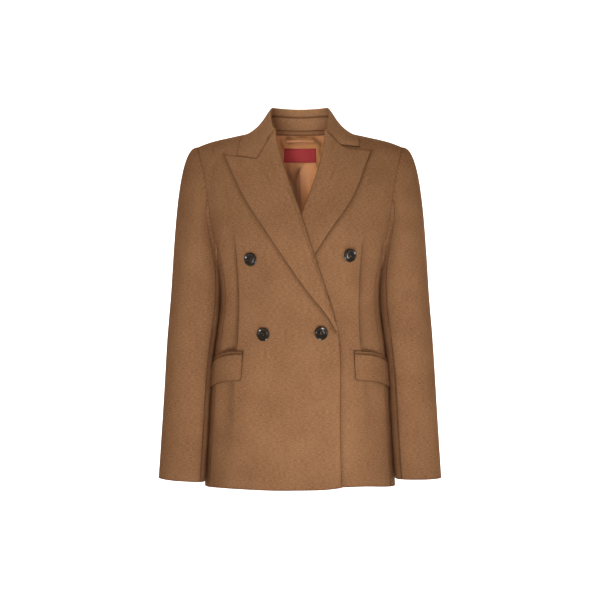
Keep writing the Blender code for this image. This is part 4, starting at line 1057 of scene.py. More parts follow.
def sleeve_ring(turns, height):
    """Own-side points of a sleeve's squarish oval; turns and height broadcast together."""
    cx, cy, wide, deep = (look_up(SLEEVE_RINGS, SLEEVE_COLUMNS, "height", name, height)
                          for name in SLEEVE_COLUMNS[1:])
    c = np.cos(np.radians(turns))
    s = np.sin(np.radians(turns))
    at_seam = (c < 0) & (s > 0)
    power = 2 / np.where(at_seam, FOREARM_SQUARENESS, SLEEVE_SQUARENESS)
    x = cx + wide * np.sign(c) * np.abs(c) ** power
    y = cy - deep * np.sign(s) * np.abs(s) ** power
    return np.stack(np.broadcast_arrays(x, y, height), -1)


def sleeve_points(turns, word):
    """Own-side points of a part of a sleeve, armhole to cuff.

    From the armhole to the first level the surface is a cubic curve a column: it leaves the
    armhole along a direction blended by turn and joins the sleeve in line with it.
    """
    ring, ring_turns = armhole_ring(word)
    around = np.mod(turns, 360)
    start = np.stack([np.interp(around, ring_turns, ring[:, k]) for k in range(3)], -1)
    start = start + np.array([2 * HALF_SEAM, 0.0, 0.0])
    into = outward(start - np.array([2 * HALF_SEAM + WALL, 0.0, 0.0]))
    end = sleeve_ring(turns, np.array(SLEEVE_TOP))
    leave = blend_by_turn(turns, CAP_DIRECTION)
    leave /= np.linalg.norm(leave, axis=1, keepdims=True)
    reach = blend_by_turn(turns, CAP_REACH)[:, None]
    rise = blend_by_turn(turns, CAP_RISE)[:, None]
    down = end - sleeve_ring(turns, np.array(SLEEVE_TOP_NEXT))
    down /= np.linalg.norm(down, axis=1, keepdims=True)
    first = start + leave * reach
    second = end + down * rise
    t = CAP_SHARES[:, None, None]
    cap = ((1 - t) ** 3 * start + 3 * (1 - t) ** 2 * t * first
           + 3 * (1 - t) * t ** 2 * second + t ** 3 * end)
    tuck = ARMHOLE_TUCK[:, None, None]
    under = start - leave * tuck - into * (tuck * TUCK_SLOPE)
    cap = np.concatenate([under, cap])
    arm = sleeve_ring(turns[None, :], ARM_LEVELS[:, None])
    toward_body = (1 - np.cos(np.radians(turns))) / 2
    near_cuff = smooth_step((SLEEVE_FOOT + CUFF_FADE - ARM_LEVELS) / CUFF_FADE)
    arm[..., 2] -= CUFF_DROP[word] * toward_body * near_cuff[:, None]
    return np.concatenate([cap, arm], 0)


def grid_normals(points):
    """Unit normals of an open grid, from the cross product of its two running directions."""
    normal = np.cross(np.gradient(points, axis=1), np.gradient(points, axis=0))
    return normal / np.maximum(np.linalg.norm(normal, axis=-1, keepdims=True), 1e-12)


def sleeve_lift(turns, height, word):
    """Stand of the sleeve's creases, laid out on its girth unrolled."""
    across = np.mod(turns, 360) / 360 * SLEEVE_GIRTH
    folds = [(turn / 360 * SLEEVE_GIRTH, *rest) for turn, *rest in SLEEVE_FOLDS[word]]
    return fold_sum(across, height, folds)


def make_sleeve_part(name, word, turns):
    """A top or under sleeve: two skins along the grid's own normals.

    Its first rows are the seam allowance, tucked in under the edge of the armhole.
    """
    side = side_of(word)
    plain = sleeve_points(turns, word)
    grid = with_rim(plain)
    wide_turns = rim_places(turns)
    normal = grid_normals(grid)
    centre = grid.mean(axis=(0, 1))
    if np.sum(normal[WELL_DOWN] * (grid[WELL_DOWN] - centre) * np.array([1, 1, 0])) < 0:
        normal = -normal
    rows = grid.shape[0]
    rim = len(RIM_STEPS)
    wall = np.full(grid.shape[:2], WALL)
    depth = np.clip(1 - np.arange(rows) / (len(CAP_SHARES) + rim), 0, 1)[:, None]
    under = np.clip((UNDERARM_HEIGHT - grid[:1, :, 2]) / UNDERARM_SPAN, 0, 1)
    wall -= (WALL - UNDERARM_WALL) * depth * under
    level = smooth_step((SLEEVE_TOP + CREASE_START - grid[..., 2]) / CREASE_FADE)
    lift = sleeve_lift(wide_turns[None, :], grid[..., 2], word) * fold_room(grid) * level
    radius = np.minimum(EDGE_RADIUS, wall * SLEEVE_RADIUS_SHARE)
    fall = rim_drop(rim_distance(grid.shape[:2], "esw"), radius)
    outer = grid + normal * (lift - fall)[..., None]
    inner = grid + normal * (lift - wall)[..., None]
    return make_shell(name, mirrored(outer, side), mirrored(inner, side))


# ------------------------------------------------------------------ lapels and collar

LAPEL_SHARES = np.union1d(np.linspace(0, 1, 121), [0.004, 0.012])
LAPEL_ACROSS = np.union1d(np.linspace(LAPEL_START, 1.0, 47), [NOTCH_SHARE, 0.985])
NOSE_SHARES = np.linspace(0, 1, 9)
NOSE_WIDTH = 0.0030
NOSE_REACH = {"right": 0.0025, "left": 0.0000}
NOSE_REACH_FOOT = -0.205
NOSE_REACH_FADE = 0.15
NOSE_DROP = 0.8
NOSE_LAST_STAND = 0.0025
BREAK_TAPER = 0.045
BREAK_STAND = 0.25
BREAK_CLEARANCE = 0.002
PEAK_FADE = 0.3
ROLL_CREST = 0.006
ROLL_FADE = 0.05
UNDER_COVER_TOP = -0.175
UNDER_COVER_FADE = 0.065
THIN_EDGE = 0.0022
GORGE_FADES = (0.055, 0.12)
LAPEL_FOLDS = {
    "right": ((-0.0900, -0.0900, -30.0, 0.0500, 0.0150, 0.0007),
              (-0.0500, -0.1700, -28.0, 0.0700, 0.0120, 0.0006)),
    "left": ((0.0950, -0.0850, 24.0, 0.0450, 0.0140, 0.0007),
             (0.0450, -0.1500, 30.0, 0.0500, 0.0120, -0.0005)),
}


def run_along(line, shares):
    """Points at shares of the length of a line of points, on a smooth curve through them."""
    line = np.array(line, float)
    run = np.concatenate([[0], np.cumsum(np.linalg.norm(np.diff(line, axis=0), axis=1))])
    return np.stack([spline(run, line[:, k], shares * run[-1]) for k in range(2)], -1)


def lapel_plan(style):
    """Own-side (x, z) of the lapel's grid, and each point's distance from the fold.

    Rows run down the fold, columns out to the free edge. The top rows are bent so that the top
    edge runs to the notch and then up to the peak; the bend fades out by the root of the rows.
    """
    share = LAPEL_SHARES
    fold_z = LAPEL_TOP + (BREAK_HEIGHT + BREAK_CLEARANCE - LAPEL_TOP) * share
    fold = np.stack([break_x(fold_z, style), fold_z], -1)
    edge = run_along(LAPEL_EDGES[style], share)
    across = LAPEL_ACROSS
    plan = fold[:, None] + (edge - fold)[:, None] * across[None, :, None]
    notch = np.array(NOTCHES[style])
    to_notch = fold[0] + (notch - fold[0]) * np.clip(across / NOTCH_SHARE, 0, 1)[:, None]
    beyond = np.clip((across - NOTCH_SHARE) / (1 - NOTCH_SHARE), 0, 1)[:, None]
    bend = to_notch + (edge[0] - notch) * beyond - plan[0]
    fade = np.clip(1 - share / PEAK_FADE, 0, 1) ** 2
    plan = plan + bend[None] * fade[:, None, None]
    return fold, plan, np.linalg.norm(plan - fold[:, None], axis=-1)


def above_cover(z):
    """1 where the under lapel lies free, 0 where the top front covers it."""
    return smooth_step((z - UNDER_COVER_TOP) / UNDER_COVER_FADE)


def roll_height(distance, z, style):
    """Extra stand of a lapel over its soft fold."""
    roll = LAPEL_ROLL * hump((distance - ROLL_CREST) / LAPEL_ROLL_WIDTH)
    low = above_cover(z) if style == "under" else smooth_step((z - BREAK_HEIGHT) / ROLL_FADE)
    return roll * low * smooth_step((ROLL_TOP - z) / ROLL_FADE)


def make_lapel(word):
    """The folded-back upper front: a rolled fold, then a leaf with thin pressed edges."""
    side = side_of(word)
    style = style_of(side)
    slope = (TOP_BREAK if style == "top" else UNDER_BREAK)["slope"]
    toward = np.array([1.0, -slope]) / math.hypot(1.0, slope)
    fold, plan, distance = lapel_plan(style)
    marks = np.linspace(0, 1, 4)
    skins = []
    taper = smooth_step((fold[:, 1] - BREAK_HEIGHT) / BREAK_TAPER)[:, None]
    reach = NOSE_REACH[word] * smooth_step(
        (fold[:, 1] - NOSE_REACH_FOOT) / NOSE_REACH_FADE)[:, None]
    for nose, wall_share in ((NOSE_OUTER, 1), (NOSE_INNER, 0)):
        last_lift = LAPEL_GAP + LAPEL_WALL[style] * wall_share + NOSE_LAST_STAND
        nose = nose + ((float(np.median(distance[:, 0])), last_lift),)
        offsets = spline(marks, [point[0] for point in nose], NOSE_SHARES)[:-1]
        lifts = spline(marks, [point[1] for point in nose], NOSE_SHARES)[:-1]
        wrap = np.clip(-offsets / NOSE_WIDTH, 0, 1) ** 1.5
        near = fold[:, None] + toward * (offsets * taper - reach * wrap)[..., None]
        lifts = lifts - reach * NOSE_DROP * wrap ** 1.5
        flat = np.concatenate([near, plan], 1)
        points = front_points(side * flat[..., 0], flat[..., 1])
        body = front_lift(points[..., 0], side, style)
        thin = hump((1 - LAPEL_ACROSS)[None, :] * distance[:, -1:] / THIN_EDGE)
        crease = fold_sum(side * plan[..., 0], plan[..., 1], LAPEL_FOLDS[word])
        leaf = LAPEL_GAP + (LAPEL_WALL[style] - EDGE_RADIUS * thin) * wall_share
        leaf = leaf + roll_height(distance, plan[..., 1], style) + crease
        stand = np.concatenate([np.broadcast_to(lifts, near.shape[:2]), leaf], 1)
        lift = body + stand * (BREAK_STAND + (1 - BREAK_STAND) * taper)
        if style == "under":
            cap = body + LAPEL_GAP + LAPEL_WALL[style]
            lift = np.where(lift > cap, cap + (lift - cap) * above_cover(flat[..., 1]), lift)
        skins.append(points + outward(points) * lift[..., None])
    shift = gorge_row(word) - skins[0][0]
    down_fade, out_fade = GORGE_FADES
    fade = hump(np.linspace(0, 1, len(LAPEL_SHARES)) / down_fade)[:, None, None]
    past_notch = np.concatenate([np.zeros(len(NOSE_SHARES) - 1), LAPEL_ACROSS]) - NOTCH_SHARE
    keep = hump(np.clip(past_notch, 0, 1) / out_fade)[None, :, None]
    skins = [skin + shift[None] * fade * keep for skin in skins]
    return make_shell("lapel_cloth_" + word, skins[0], skins[1], soft_rows=1.0)


COLLAR_FINE = 16
COLLAR_END_PULL = 1.1
COLLAR_END_SETTLE = 0.8
COLLAR_NOSE_SPAN = 0.12
FALL_WIDTH = 0.09
FALL_RADIUS = 0.0008
STAND_RADIUS = 0.0003
STAND_FOOT_SHARE = -0.26
FALL_SHARES = np.linspace(0, 1, 47)


def collar_rails():
    """The collar's rails, from one gorge round the back of the neck to the other."""
    half = np.array(COLLAR_STATIONS)
    whole = np.concatenate([half[:0:-1] * np.array([-1.0, 1.0, 1.0]), half], 0)
    count = len(whole)
    fine = np.linspace(0, count - 1, (count - 1) * COLLAR_FINE + 1)
    rails = [[spline(np.arange(count), whole[:, rail, axis], fine) for axis in range(3)]
             for rail in range(len(COLLAR_RAILS))]
    return np.moveaxis(np.array(rails), (0, 1, 2), (1, 2, 0))


def across_rails(rails, marks, shares):
    """A surface through rails: a smooth curve across them at each place along."""
    flat = np.moveaxis(rails, 1, 0).reshape(len(marks), -1)
    return np.moveaxis(rail_spline(marks, flat, shares).reshape(len(shares), -1, 3), 0, 1)


def rail_spline(marks, rows, shares):
    """Natural cubics for many columns at once: the curve is linear in its knot values."""
    unit = np.stack([spline(marks, column_values, shares) for column_values in np.eye(len(marks))])
    return np.einsum("ks,kn->sn", unit, rows)


def collar_leaf():
    """The leaf's outer skin, from the right gorge to the left one, seam to free edge.

    The surface is smooth across its rails. At each end it is drawn to a line of its own: straight
    from the roll to the notch corner, then straight along the free end to the tip. The pull fades
    out along the collar as a hump.
    """
    rails = collar_rails()
    seam, roll, belly, edge = (rails[:, k] for k in range(1, 5))
    start = seam + (roll - seam) * COLLAR_SEAM_SHARE
    leaf = across_rails(np.stack([start, roll, belly, edge], 1), FALL_MARKS, FALL_SHARES)
    count = len(leaf)
    for word, end, side in (("right", 0, -1), ("left", -1, 1)):
        last = leaf[end] * np.array([side, 1.0, 1.0])
        target = collar_end_line(last, word)
        shift = (target - last) * np.array([side, 1.0, 1.0])
        along = np.arange(count) if end == 0 else np.arange(count)[::-1]
        fade = hump(along / (COLLAR_FINE * COLLAR_END_PULL))[:, None, None]
        leaf = leaf + shift[None] * fade
    return leaf


def collar_end_line(last, word):
    """Own-side points of the leaf's end: round the fold, down the gorge, out to the tip."""
    corner, tip = (np.array(p) for p in COLLAR_ENDS[word])
    roll_at, corner_at = FALL_MARKS[1:3]
    first = np.array([np.interp(roll_at, FALL_SHARES, last[:, k]) for k in range(3)])
    down = np.clip((FALL_SHARES - roll_at) / (corner_at - roll_at), 0, 1)[:, None]
    out = np.clip((FALL_SHARES - corner_at) / (1 - corner_at), 0, 1)[:, None]
    plan = first[[0, 2]] + (corner - first[[0, 2]]) * down + (tip - corner) * out
    stand_at_roll = form_y(first[0], first[2], -1.0) - first[1]
    settled = smooth_step(down[:, 0] / COLLAR_END_SETTLE)
    stand = stand_at_roll + (COLLAR_END_LIFT - stand_at_roll) * settled
    depth = form_y(plan[:, 0], plan[:, 1], np.full(len(plan), -1.0)) - stand
    line = np.stack([plan[:, 0], depth, plan[:, 1]], -1)
    return np.where((FALL_SHARES < roll_at)[:, None], last, line)


def gorge_row(word):
    """The lapel's top row where it is sewn to the collar: the leaf's end, roll to notch."""
    side = side_of(word)
    leaf = collar_leaf()
    row = leaf[-1] if side > 0 else leaf[0]
    roll_at, corner_at = FALL_MARKS[1:3]
    nose = np.linspace(roll_at - COLLAR_NOSE_SPAN, roll_at, len(NOSE_SHARES))[:-1]
    to_notch = np.clip(LAPEL_ACROSS / NOTCH_SHARE, 0, 1)
    leaf_part = roll_at + (corner_at - roll_at) * to_notch
    shares = np.concatenate([nose, leaf_part])
    return np.stack([np.interp(shares, FALL_SHARES, row[:, k]) for k in range(3)], -1)


def make_collar_fall():
    """The collar leaf: over the fold and down, with thin pressed edges and pointed ends."""
    fall = with_rim(collar_leaf())
    shares = rim_places(FALL_SHARES * FALL_WIDTH) / FALL_WIDTH
    normal = grid_normals(fall)
    if normal[len(fall) // 2, -1, 1] < 0:
        normal = -normal
    wall = np.interp(shares, FALL_WALL_AT, FALL_WALLS)
    drop = rim_drop(rim_distance(fall.shape[:2], "nes"), FALL_RADIUS)
    outer = fall - normal * drop[..., None]
    return make_shell("collar_fall_cloth", outer, fall - normal * wall[None, :, None])


def make_collar_stand():
    """The band inside the collar, its foot carried down over the neck seam."""
    rails = collar_rails()
    foot, seam = rails[:, 0], rails[:, 1]
    top = seam + (foot - seam) * COLLAR_SEAM_SHARE
    share = np.linspace(STAND_FOOT_SHARE, 1, 41)
    stand = foot[:, None] + (top - foot)[:, None] * share[None, :, None]
    stand = with_rim(stand[COLLAR_FINE:-COLLAR_FINE])
    normal = grid_normals(stand)
    if normal[len(stand) // 2, 5, 1] > 0:
        normal = -normal
    drop = rim_drop(rim_distance(stand.shape[:2]), STAND_RADIUS)
    outer = stand - normal * drop[..., None]
    return make_shell("collar_stand_cloth", outer, stand - normal * STAND_WALL)


# ------------------------------------------------------------------ pockets

FLAP_SHARES = np.union1d(np.linspace(0, 1, 61), [0.01, 0.02, 0.04, 0.96, 0.98, 0.99])
FLAP_RADIUS = 0.0010
FLAP_FLARE = 0.0010


def pocket_frame(word):
    """Turns and top heights along a pocket mouth, and the height of the flap along it."""
    share = FLAP_SHARES
    top = look_up(POCKET_TOP, POCKET_COLUMNS, "share", "top", share)
    first = float(ring_turn(FLAP_START[word], POCKET_LEVEL, -1.0))
    turns = first + (FLAP_END_TURN - first) * share
    run = share * POCKET_LENGTH
    near_end = np.minimum(run, POCKET_LENGTH - run)
    short = np.clip(FLAP_CORNER - near_end, 0, FLAP_CORNER)
    corner = FLAP_CORNER - np.sqrt(FLAP_CORNER ** 2 - short ** 2)
    return turns, top, FLAP_HEIGHT - corner


def pocket_piece(name, word, upper, lower, rows, wall, gap, radius, flare):
    """A piece that hangs between two lines round the hip, standing off the front.

    Its free edge stands off by the flare as well, which grows by the square of the way down.
    """
    side = side_of(word)
    style = style_of(side)
    turns = pocket_frame(word)[0]
    down = np.linspace(0, 1, rows)[:, None]
    z = upper[None, :] + (lower - upper)[None, :] * down
    turn = np.broadcast_to(turns[None, :], z.shape)
    face = np.full_like(z, -1.0)
    grid = with_rim(mirrored(ring_points(turn, z, face), side))
    lift = front_lift(grid[..., 0], side, style) + gap + wall
    ends = np.linspace(0, 1, grid.shape[0])[:, None]
    return lay_on_form(name, grid, lift + flare * ends ** 2, wall, radius=radius)


def make_flap(word):
    """A pocket flap with rounded lower corners, lifting a little at its free edge."""
    _, top, height = pocket_frame(word)
    return pocket_piece("pocket_flap_cloth_" + word, word, top, top - height, 27, FLAP_WALL,
                        FLAP_LIFT, FLAP_RADIUS, FLAP_FLARE)


def make_welt(word):
    """The narrow welt along the top of the pocket mouth."""
    _, top, _ = pocket_frame(word)
    foot = top + 2 * HALF_SEAM
    return pocket_piece("pocket_welt_cloth_" + word, word, foot + WELT_HEIGHT, foot, 5, WELT_WALL,
                        LAPEL_GAP, EDGE_RADIUS, 0.0)


# ------------------------------------------------------------------ inside the neck

LINING_FOLDS = (
    (-0.0090, -0.1450, -4.0, 0.0550, 0.0070, -0.0040),
    (-0.0220, -0.0930, 36.0, 0.0220, 0.0042, 0.0034),
    (-0.0130, -0.0900, 34.0, 0.0200, 0.0034, -0.0030),
    (-0.0060, -0.0860, 30.0, 0.0180, 0.0030, 0.0026),
    (0.0240, -0.1200, -12.0, 0.0380, 0.0060, 0.0024),
    (0.0400, -0.0300, -32.0, 0.0150, 0.0035, 0.0038),
    (0.0385, -0.0620, -8.0, 0.0200, 0.0035, 0.0030),
    (-0.0400, -0.0330, 12.0, 0.0140, 0.0030, 0.0030),
    (0.0420, -0.1350, -22.0, 0.0420, 0.0070, -0.0022),
    (-0.0450, -0.1500, 16.0, 0.0480, 0.0080, -0.0018),
)

# here the last column is the share of painted shade in the crevice, from 0 to 1
LINING_PAINTED_SHADES = (
    (-0.0073, -0.1240, -9.0, 0.0500, 0.0090, 1.00),
    (-0.0030, -0.0770, 25.0, 0.0160, 0.0032, 0.95),
    (-0.0230, -0.0800, -14.0, 0.0240, 0.0055, 0.85),
    (0.0040, -0.0100, 90.0, 0.0260, 0.0042, 1.00),
    (-0.0250, -0.0110, 80.0, 0.0070, 0.0040, 0.95),
    (-0.0190, -0.0190, 75.0, 0.0070, 0.0036, 1.00),
    (0.0350, -0.0190, -48.0, 0.0150, 0.0045, 0.95),
    (0.0410, -0.0380, -4.0, 0.0150, 0.0038, 0.85),
    (-0.0370, -0.0260, -20.0, 0.0120, 0.0034, 0.80),
    (0.0360, -0.0640, -10.0, 0.0140, 0.0036, 0.70),
)


PLEAT_OFFSET = 0.0016
PLEAT_STEEPNESS = 0.0022
PLEAT_FADE = 0.05
LINING_FOLDS_TOP = -0.030
LINING_FOLDS_FADE = 0.02
LINING_LEAST_STAND = -0.0011
LINING_RADIUS = 0.0003
FACING_RADIUS = 0.0004
LABEL_BOW = 0.0004
LABEL_BOW_WIDTH = 0.012
LABEL_END_LIFT = 0.0003
LABEL_END_START = 0.027
LABEL_END_FADE = 0.005


def pleat(x, z):
    """Stand of the centre pleat: a steep fall on one side of the middle, run out on the other."""
    over = hump(x / PLEAT_SPREAD) * smooth_step((x + PLEAT_OFFSET) / PLEAT_STEEPNESS)
    return PLEAT_HEIGHT * over * smooth_step((PLEAT_TOP - z) / PLEAT_FADE)


def inside_back(name, x, z, gap, wall, radius, marks=0.0):
    """A piece that lines the back; gap is its distance from the cloth's inner side."""
    grid = back_points(x, z)
    normal = outward(grid)
    gap = np.broadcast_to(gap, x.shape)
    fall = rim_drop(rim_distance(x.shape), radius)
    outer = grid - normal * (WALL + gap)[..., None]
    inner = grid - normal * (WALL + gap + wall - fall)[..., None]
    # marks is painted shade a vertex, handed on with the edges' own
    return make_shell(name, outer, inner, marks=marks)


def rimmed_mesh(x, z):
    """Rimmed grids of x and z from two plain ones."""
    grid = with_rim(np.stack([x, z, np.zeros_like(x)], -1))
    return grid[..., 0], grid[..., 1]


def make_facing():
    """The strip of cloth under the collar at the back of the neck."""
    x, z = rimmed_mesh(*np.meshgrid(np.linspace(-FACING_HALF_WIDTH, FACING_HALF_WIDTH, 45),
                                    np.linspace(FACING_FOOT, FACING_TOP, 6)))
    return inside_back("neck_facing_cloth", x, z, FACING_LIFT, LINING_WALL,
                       FACING_RADIUS)


def make_lining():
    """The back lining from below the shoulder line to the waist, with its pleat and folds."""
    x = LINING_HALF_WIDTH * np.union1d(np.linspace(-1, 1, 121), np.linspace(-0.03, 0.02, 11))
    low = np.linspace(LINING_FOOT, CHEST_HEIGHT, 22)[:-1]
    share = np.linspace(0, 1, 71)
    below_x, below_z = np.meshgrid(x, low)
    top = np.minimum((LINING_TOP - CHEST_HEIGHT) / (ridge_height(x) - CHEST_HEIGHT),
                     LINING_SHARE_MOST)
    above_x = np.broadcast_to(x, (len(share), len(x)))
    above_z = rising_z(above_x, share[:, None] * top[None, :])
    x, z = rimmed_mesh(np.concatenate([below_x, above_x]), np.concatenate([below_z, above_z]))
    folds = fold_sum(x, z, LINING_FOLDS) * smooth_step((LINING_FOLDS_TOP - z) / LINING_FOLDS_FADE)
    stand = LINING_LIFT + np.maximum(pleat(x, z) + folds, LINING_LEAST_STAND)
    # painted shade in the lining's fold troughs
    marks = np.clip(fold_sum(x, z, LINING_PAINTED_SHADES), 0, 1)
    return inside_back("back_lining_satin", x, z, stand, LINING_WALL, LINING_RADIUS,
                       marks)


def make_label():
    """The bare woven label, its two ends folded under."""
    half = LABEL_SIZE[0] / 2
    x, z = rimmed_mesh(*np.meshgrid(np.linspace(-half, half, 65),
                                    np.linspace(LABEL_TOP - LABEL_SIZE[1], LABEL_TOP, 29)))
    ends = smooth_step((np.abs(x) - LABEL_END_START) / LABEL_END_FADE)
    lift = LABEL_LIFT + LABEL_BOW * hump(x / LABEL_BOW_WIDTH) + LABEL_END_LIFT * ends
    return inside_back("neck_label_ribbon", x, z, lift, LABEL_WALL, LINING_RADIUS)


def make_loop():
    """The hanger loop: a narrow tube of cloth pressed flat, bowed off the facing."""
    share = np.linspace(-1, 1, 61)
    z_mid = LOOP_HEIGHT - LOOP_DROP * share ** 2
    across = np.linspace(-0.5, 0.5, 9)[:, None] * LOOP_WIDTH
    grid = with_rim(np.stack(
        np.broadcast_arrays(share * LOOP_SPAN / 2, z_mid + across, share), -1))
    stand = LOOP_GAP + LOOP_STAND * (1 - np.clip(grid[..., 2], -1, 1) ** 2)
    return inside_back("hanger_loop_cloth", grid[..., 0], grid[..., 1], stand, LABEL_WALL,
                       FACING_RADIUS)


# ------------------------------------------------------------------ materials

CLOTH_DARK = "#6B4830"
CLOTH_LIGHT = "#A37B59"
# painted shade: the colours that cloth and lining are darkened towards along edges, seams, the dart
# and folds, and the largest share of that darkening
CLOTH_SHADE_COLOUR = "#33190A"
LINING_SHADE_COLOUR = "#4E2A0A"
PAINTED_SHADE_STRENGTH = 0.72
FIBRE_SHARE = 0.48
TWILL_SHARE = 0.08
CLOUD_SHARE = 0.14
TWILL_ANGLE = 34.0
# thread spacings in millimetres, across and along a piece
TWILL_LINES = (2.4, 2.4)
WEFT_SLUBS = (6.5, 1.2)
SATIN_FLOATS = (0.5, 6.0)
RIBBON_RIBS = (0.9, 0.9)
MATERIALS = {}


def linear(hex_colour):
    """An sRGB hex colour as linear red, green, blue and alpha."""
    value = hex_colour.lstrip("#")
    parts = np.array([int(value[i:i + 2], 16) for i in (0, 2, 4)]) / 255
    low = parts / 12.92
    high = ((parts + 0.055) / 1.055) ** 2.4
    return (*(float(v) for v in np.where(parts <= 0.04045, low, high)), 1.0)


def add_node(tree, kind, settings=None, links=None):
    """One node: settings are its attributes or its sockets' values, links feed its sockets."""
    node = tree.nodes.new(kind)
    for key, value in (settings or {}).items():
        if isinstance(key, str) and hasattr(node, key):
            setattr(node, key, value)
        else:
            node.inputs[key].default_value = value
    for key, socket in (links or {}).items():
        tree.links.new(socket, node.inputs[key])
    return node


def start_material(name, roughness, specular, settings=None):
    """A new material with a Principled shader; returns it, its tree and the shader."""
    made = bpy.data.materials.new(name)
    made.use_nodes = True
    tree = made.node_tree
    shader = tree.nodes["Principled BSDF"]
    shader.inputs["Roughness"].default_value = roughness
    shader.inputs["Specular IOR Level"].default_value = specular
    for key, value in (settings or {}).items():
        shader.inputs[key].default_value = value
    return made, tree, shader


def weave_coordinates(tree, across_mm, along_mm, turn=0.0):
    """The piece's own weave map, in threads: metres divided by the thread spacing."""
    place = add_node(tree, "ShaderNodeUVMap", {"uv_map": "weave"})
    scale = (1000 / across_mm, 1000 / along_mm, 1.0)
    return add_node(tree, "ShaderNodeMapping", {"Scale": scale, "Rotation": (0, 0, turn)},
                    {"Vector": place.outputs["UV"]}).outputs["Vector"]


def paint_shade(tree, colour, crevice):
    """Paint shade into a colour: darken it towards the crevice colour by the piece's painted shade
    share.
    """
    painted_shade = add_node(tree, "ShaderNodeAttribute", {"attribute_name": "painted_shade"})
    depth = add_node(tree, "ShaderNodeMath", {"operation": "MULTIPLY", 1: PAINTED_SHADE_STRENGTH},
                     {0: painted_shade.outputs["Fac"]})
    return add_node(tree, "ShaderNodeMix", {"data_type": "RGBA", 7: linear(crevice)},
                    {0: depth.outputs[0], 6: colour}).outputs[2]


def noise(tree, vector, scale, detail, roughness=0.5, distortion=0.0):
    """The value of a noise along a vector."""
    return add_node(tree, "ShaderNodeTexNoise",
                    {"Scale": scale, "Detail": detail, "Roughness": roughness,
                     "Distortion": distortion}, {"Vector": vector}).outputs["Fac"]


def mix_values(tree, share, first, second):
    """One value brought towards a second by a share."""
    return add_node(tree, "ShaderNodeMix", {"data_type": "FLOAT", 0: share},
                    {2: first, 3: second}).outputs[0]


def colour_ramp(tree, value, low, high, low_at=0.0, high_at=1.0):
    """A colour that runs from low to high as a value goes between two places."""
    ramp = add_node(tree, "ShaderNodeValToRGB", None, {"Fac": value})
    for stop, colour, place in zip(ramp.color_ramp.elements, (low, high), (low_at, high_at)):
        stop.position = place
        stop.color = colour
    return ramp.outputs["Color"]


def add_bump(tree, shader, strength, distance, height):
    """Fine relief on a shader from a value."""
    bump = add_node(tree, "ShaderNodeBump", {"Strength": strength, "Distance": distance},
                    {"Height": height})
    tree.links.new(bump.outputs["Normal"], shader.inputs["Normal"])


def wool_twill():
    """Carded and fulled wool flannel in a fine twill, piece-dyed from mixed fibres.

    The eye gets a dull, soft surface with a slight bloom at its edges, a melange of darker and
    lighter fibre, faint level slubs along the weft and a diagonal too fine to read singly. The
    twill lines are drawn 2.4 mm apart, coarser than the real 0.6 mm, so that they show. Edges,
    seams, the dart and the cloth beside a lapel or the other front get painted shade: the colour
    is darkened there, where a fold or the piece on top keeps the light out.
    """
    chosen = settings()
    made, tree, shader = start_material(
        "wool_twill_fulled", 0.92, 0.06,
        {"Sheen Weight": 0.04, "Sheen Roughness": 0.45, "Sheen Tint": linear("#B98A63")})
    objects = add_node(tree, "ShaderNodeTexCoord").outputs["Object"]
    twill = weave_coordinates(tree, *TWILL_LINES, math.radians(TWILL_ANGLE))
    lines = add_node(tree, "ShaderNodeTexWave",
                     {"Scale": 0.32, "Distortion": 3.0, "Detail": 2.0, "Detail Scale": 1.4},
                     {"Vector": twill})
    weft = weave_coordinates(tree, *WEFT_SLUBS)
    slub = noise(tree, weft, 1.0, 3.0, 0.6)
    fibre = noise(tree, objects, 900.0, 2.0, 0.65)
    cloud = noise(tree, objects, 14.0, 3.0)
    speck = mix_values(tree, FIBRE_SHARE, slub, fibre)
    mixed = mix_values(tree, TWILL_SHARE, speck, lines.outputs["Fac"])
    toned = mix_values(tree, CLOUD_SHARE, mixed, cloud)
    colour = colour_ramp(tree, toned, chosen.cloth_dark, chosen.cloth_light, 0.36, 0.64)
    # painted shade along edges, seams, the dart and beside the lapels
    tree.links.new(paint_shade(tree, colour, CLOTH_SHADE_COLOUR), shader.inputs["Base Color"])
    add_bump(tree, shader, 0.35, 0.0004, mixed)
    return made


def lining_satin():
    """Acetate satin, calendered: smooth long floats that catch a stretched soft gloss."""
    made, tree, shader = start_material(
        "acetate_satin_lining", 0.40, 0.42,
        {"Anisotropic": 0.35, "Sheen Weight": 0.12, "Sheen Roughness": 0.35})
    threads = weave_coordinates(tree, *SATIN_FLOATS)
    floats = noise(tree, threads, 1.0, 2.0)
    colour = colour_ramp(tree, floats, linear("#C48756"), linear("#DB9C6A"), 0.25, 0.75)
    # painted shade in the lining's fold troughs and along the loop's edges
    tree.links.new(paint_shade(tree, colour, LINING_SHADE_COLOUR), shader.inputs["Base Color"])
    add_bump(tree, shader, 0.15, 0.0002, floats)
    return made


def woven_ribbon():
    """Damask-woven polyester ribbon: a dense red ground, ribbed across, with a satin glint.

    The ribs are drawn 0.9 mm apart, coarser than the real 0.3 mm, so that they show.
    """
    made, tree, shader = start_material("polyester_ribbon_woven", 0.55, 0.35)
    threads = weave_coordinates(tree, *RIBBON_RIBS)
    ribs = add_node(tree, "ShaderNodeTexWave",
                    {"bands_direction": "Y", "Scale": 0.32, "Distortion": 0.6, "Detail": 1.0},
                    {"Vector": threads})
    mixed = mix_values(tree, 0.5, ribs.outputs["Fac"], noise(tree, threads, 2.2, 2.0))
    colour = colour_ramp(tree, mixed, linear("#9A2B2F"), linear("#B0383D"), 0.15, 0.85)
    tree.links.new(colour, shader.inputs["Base Color"])
    add_bump(tree, shader, 0.3, 0.0002, mixed)
    return made


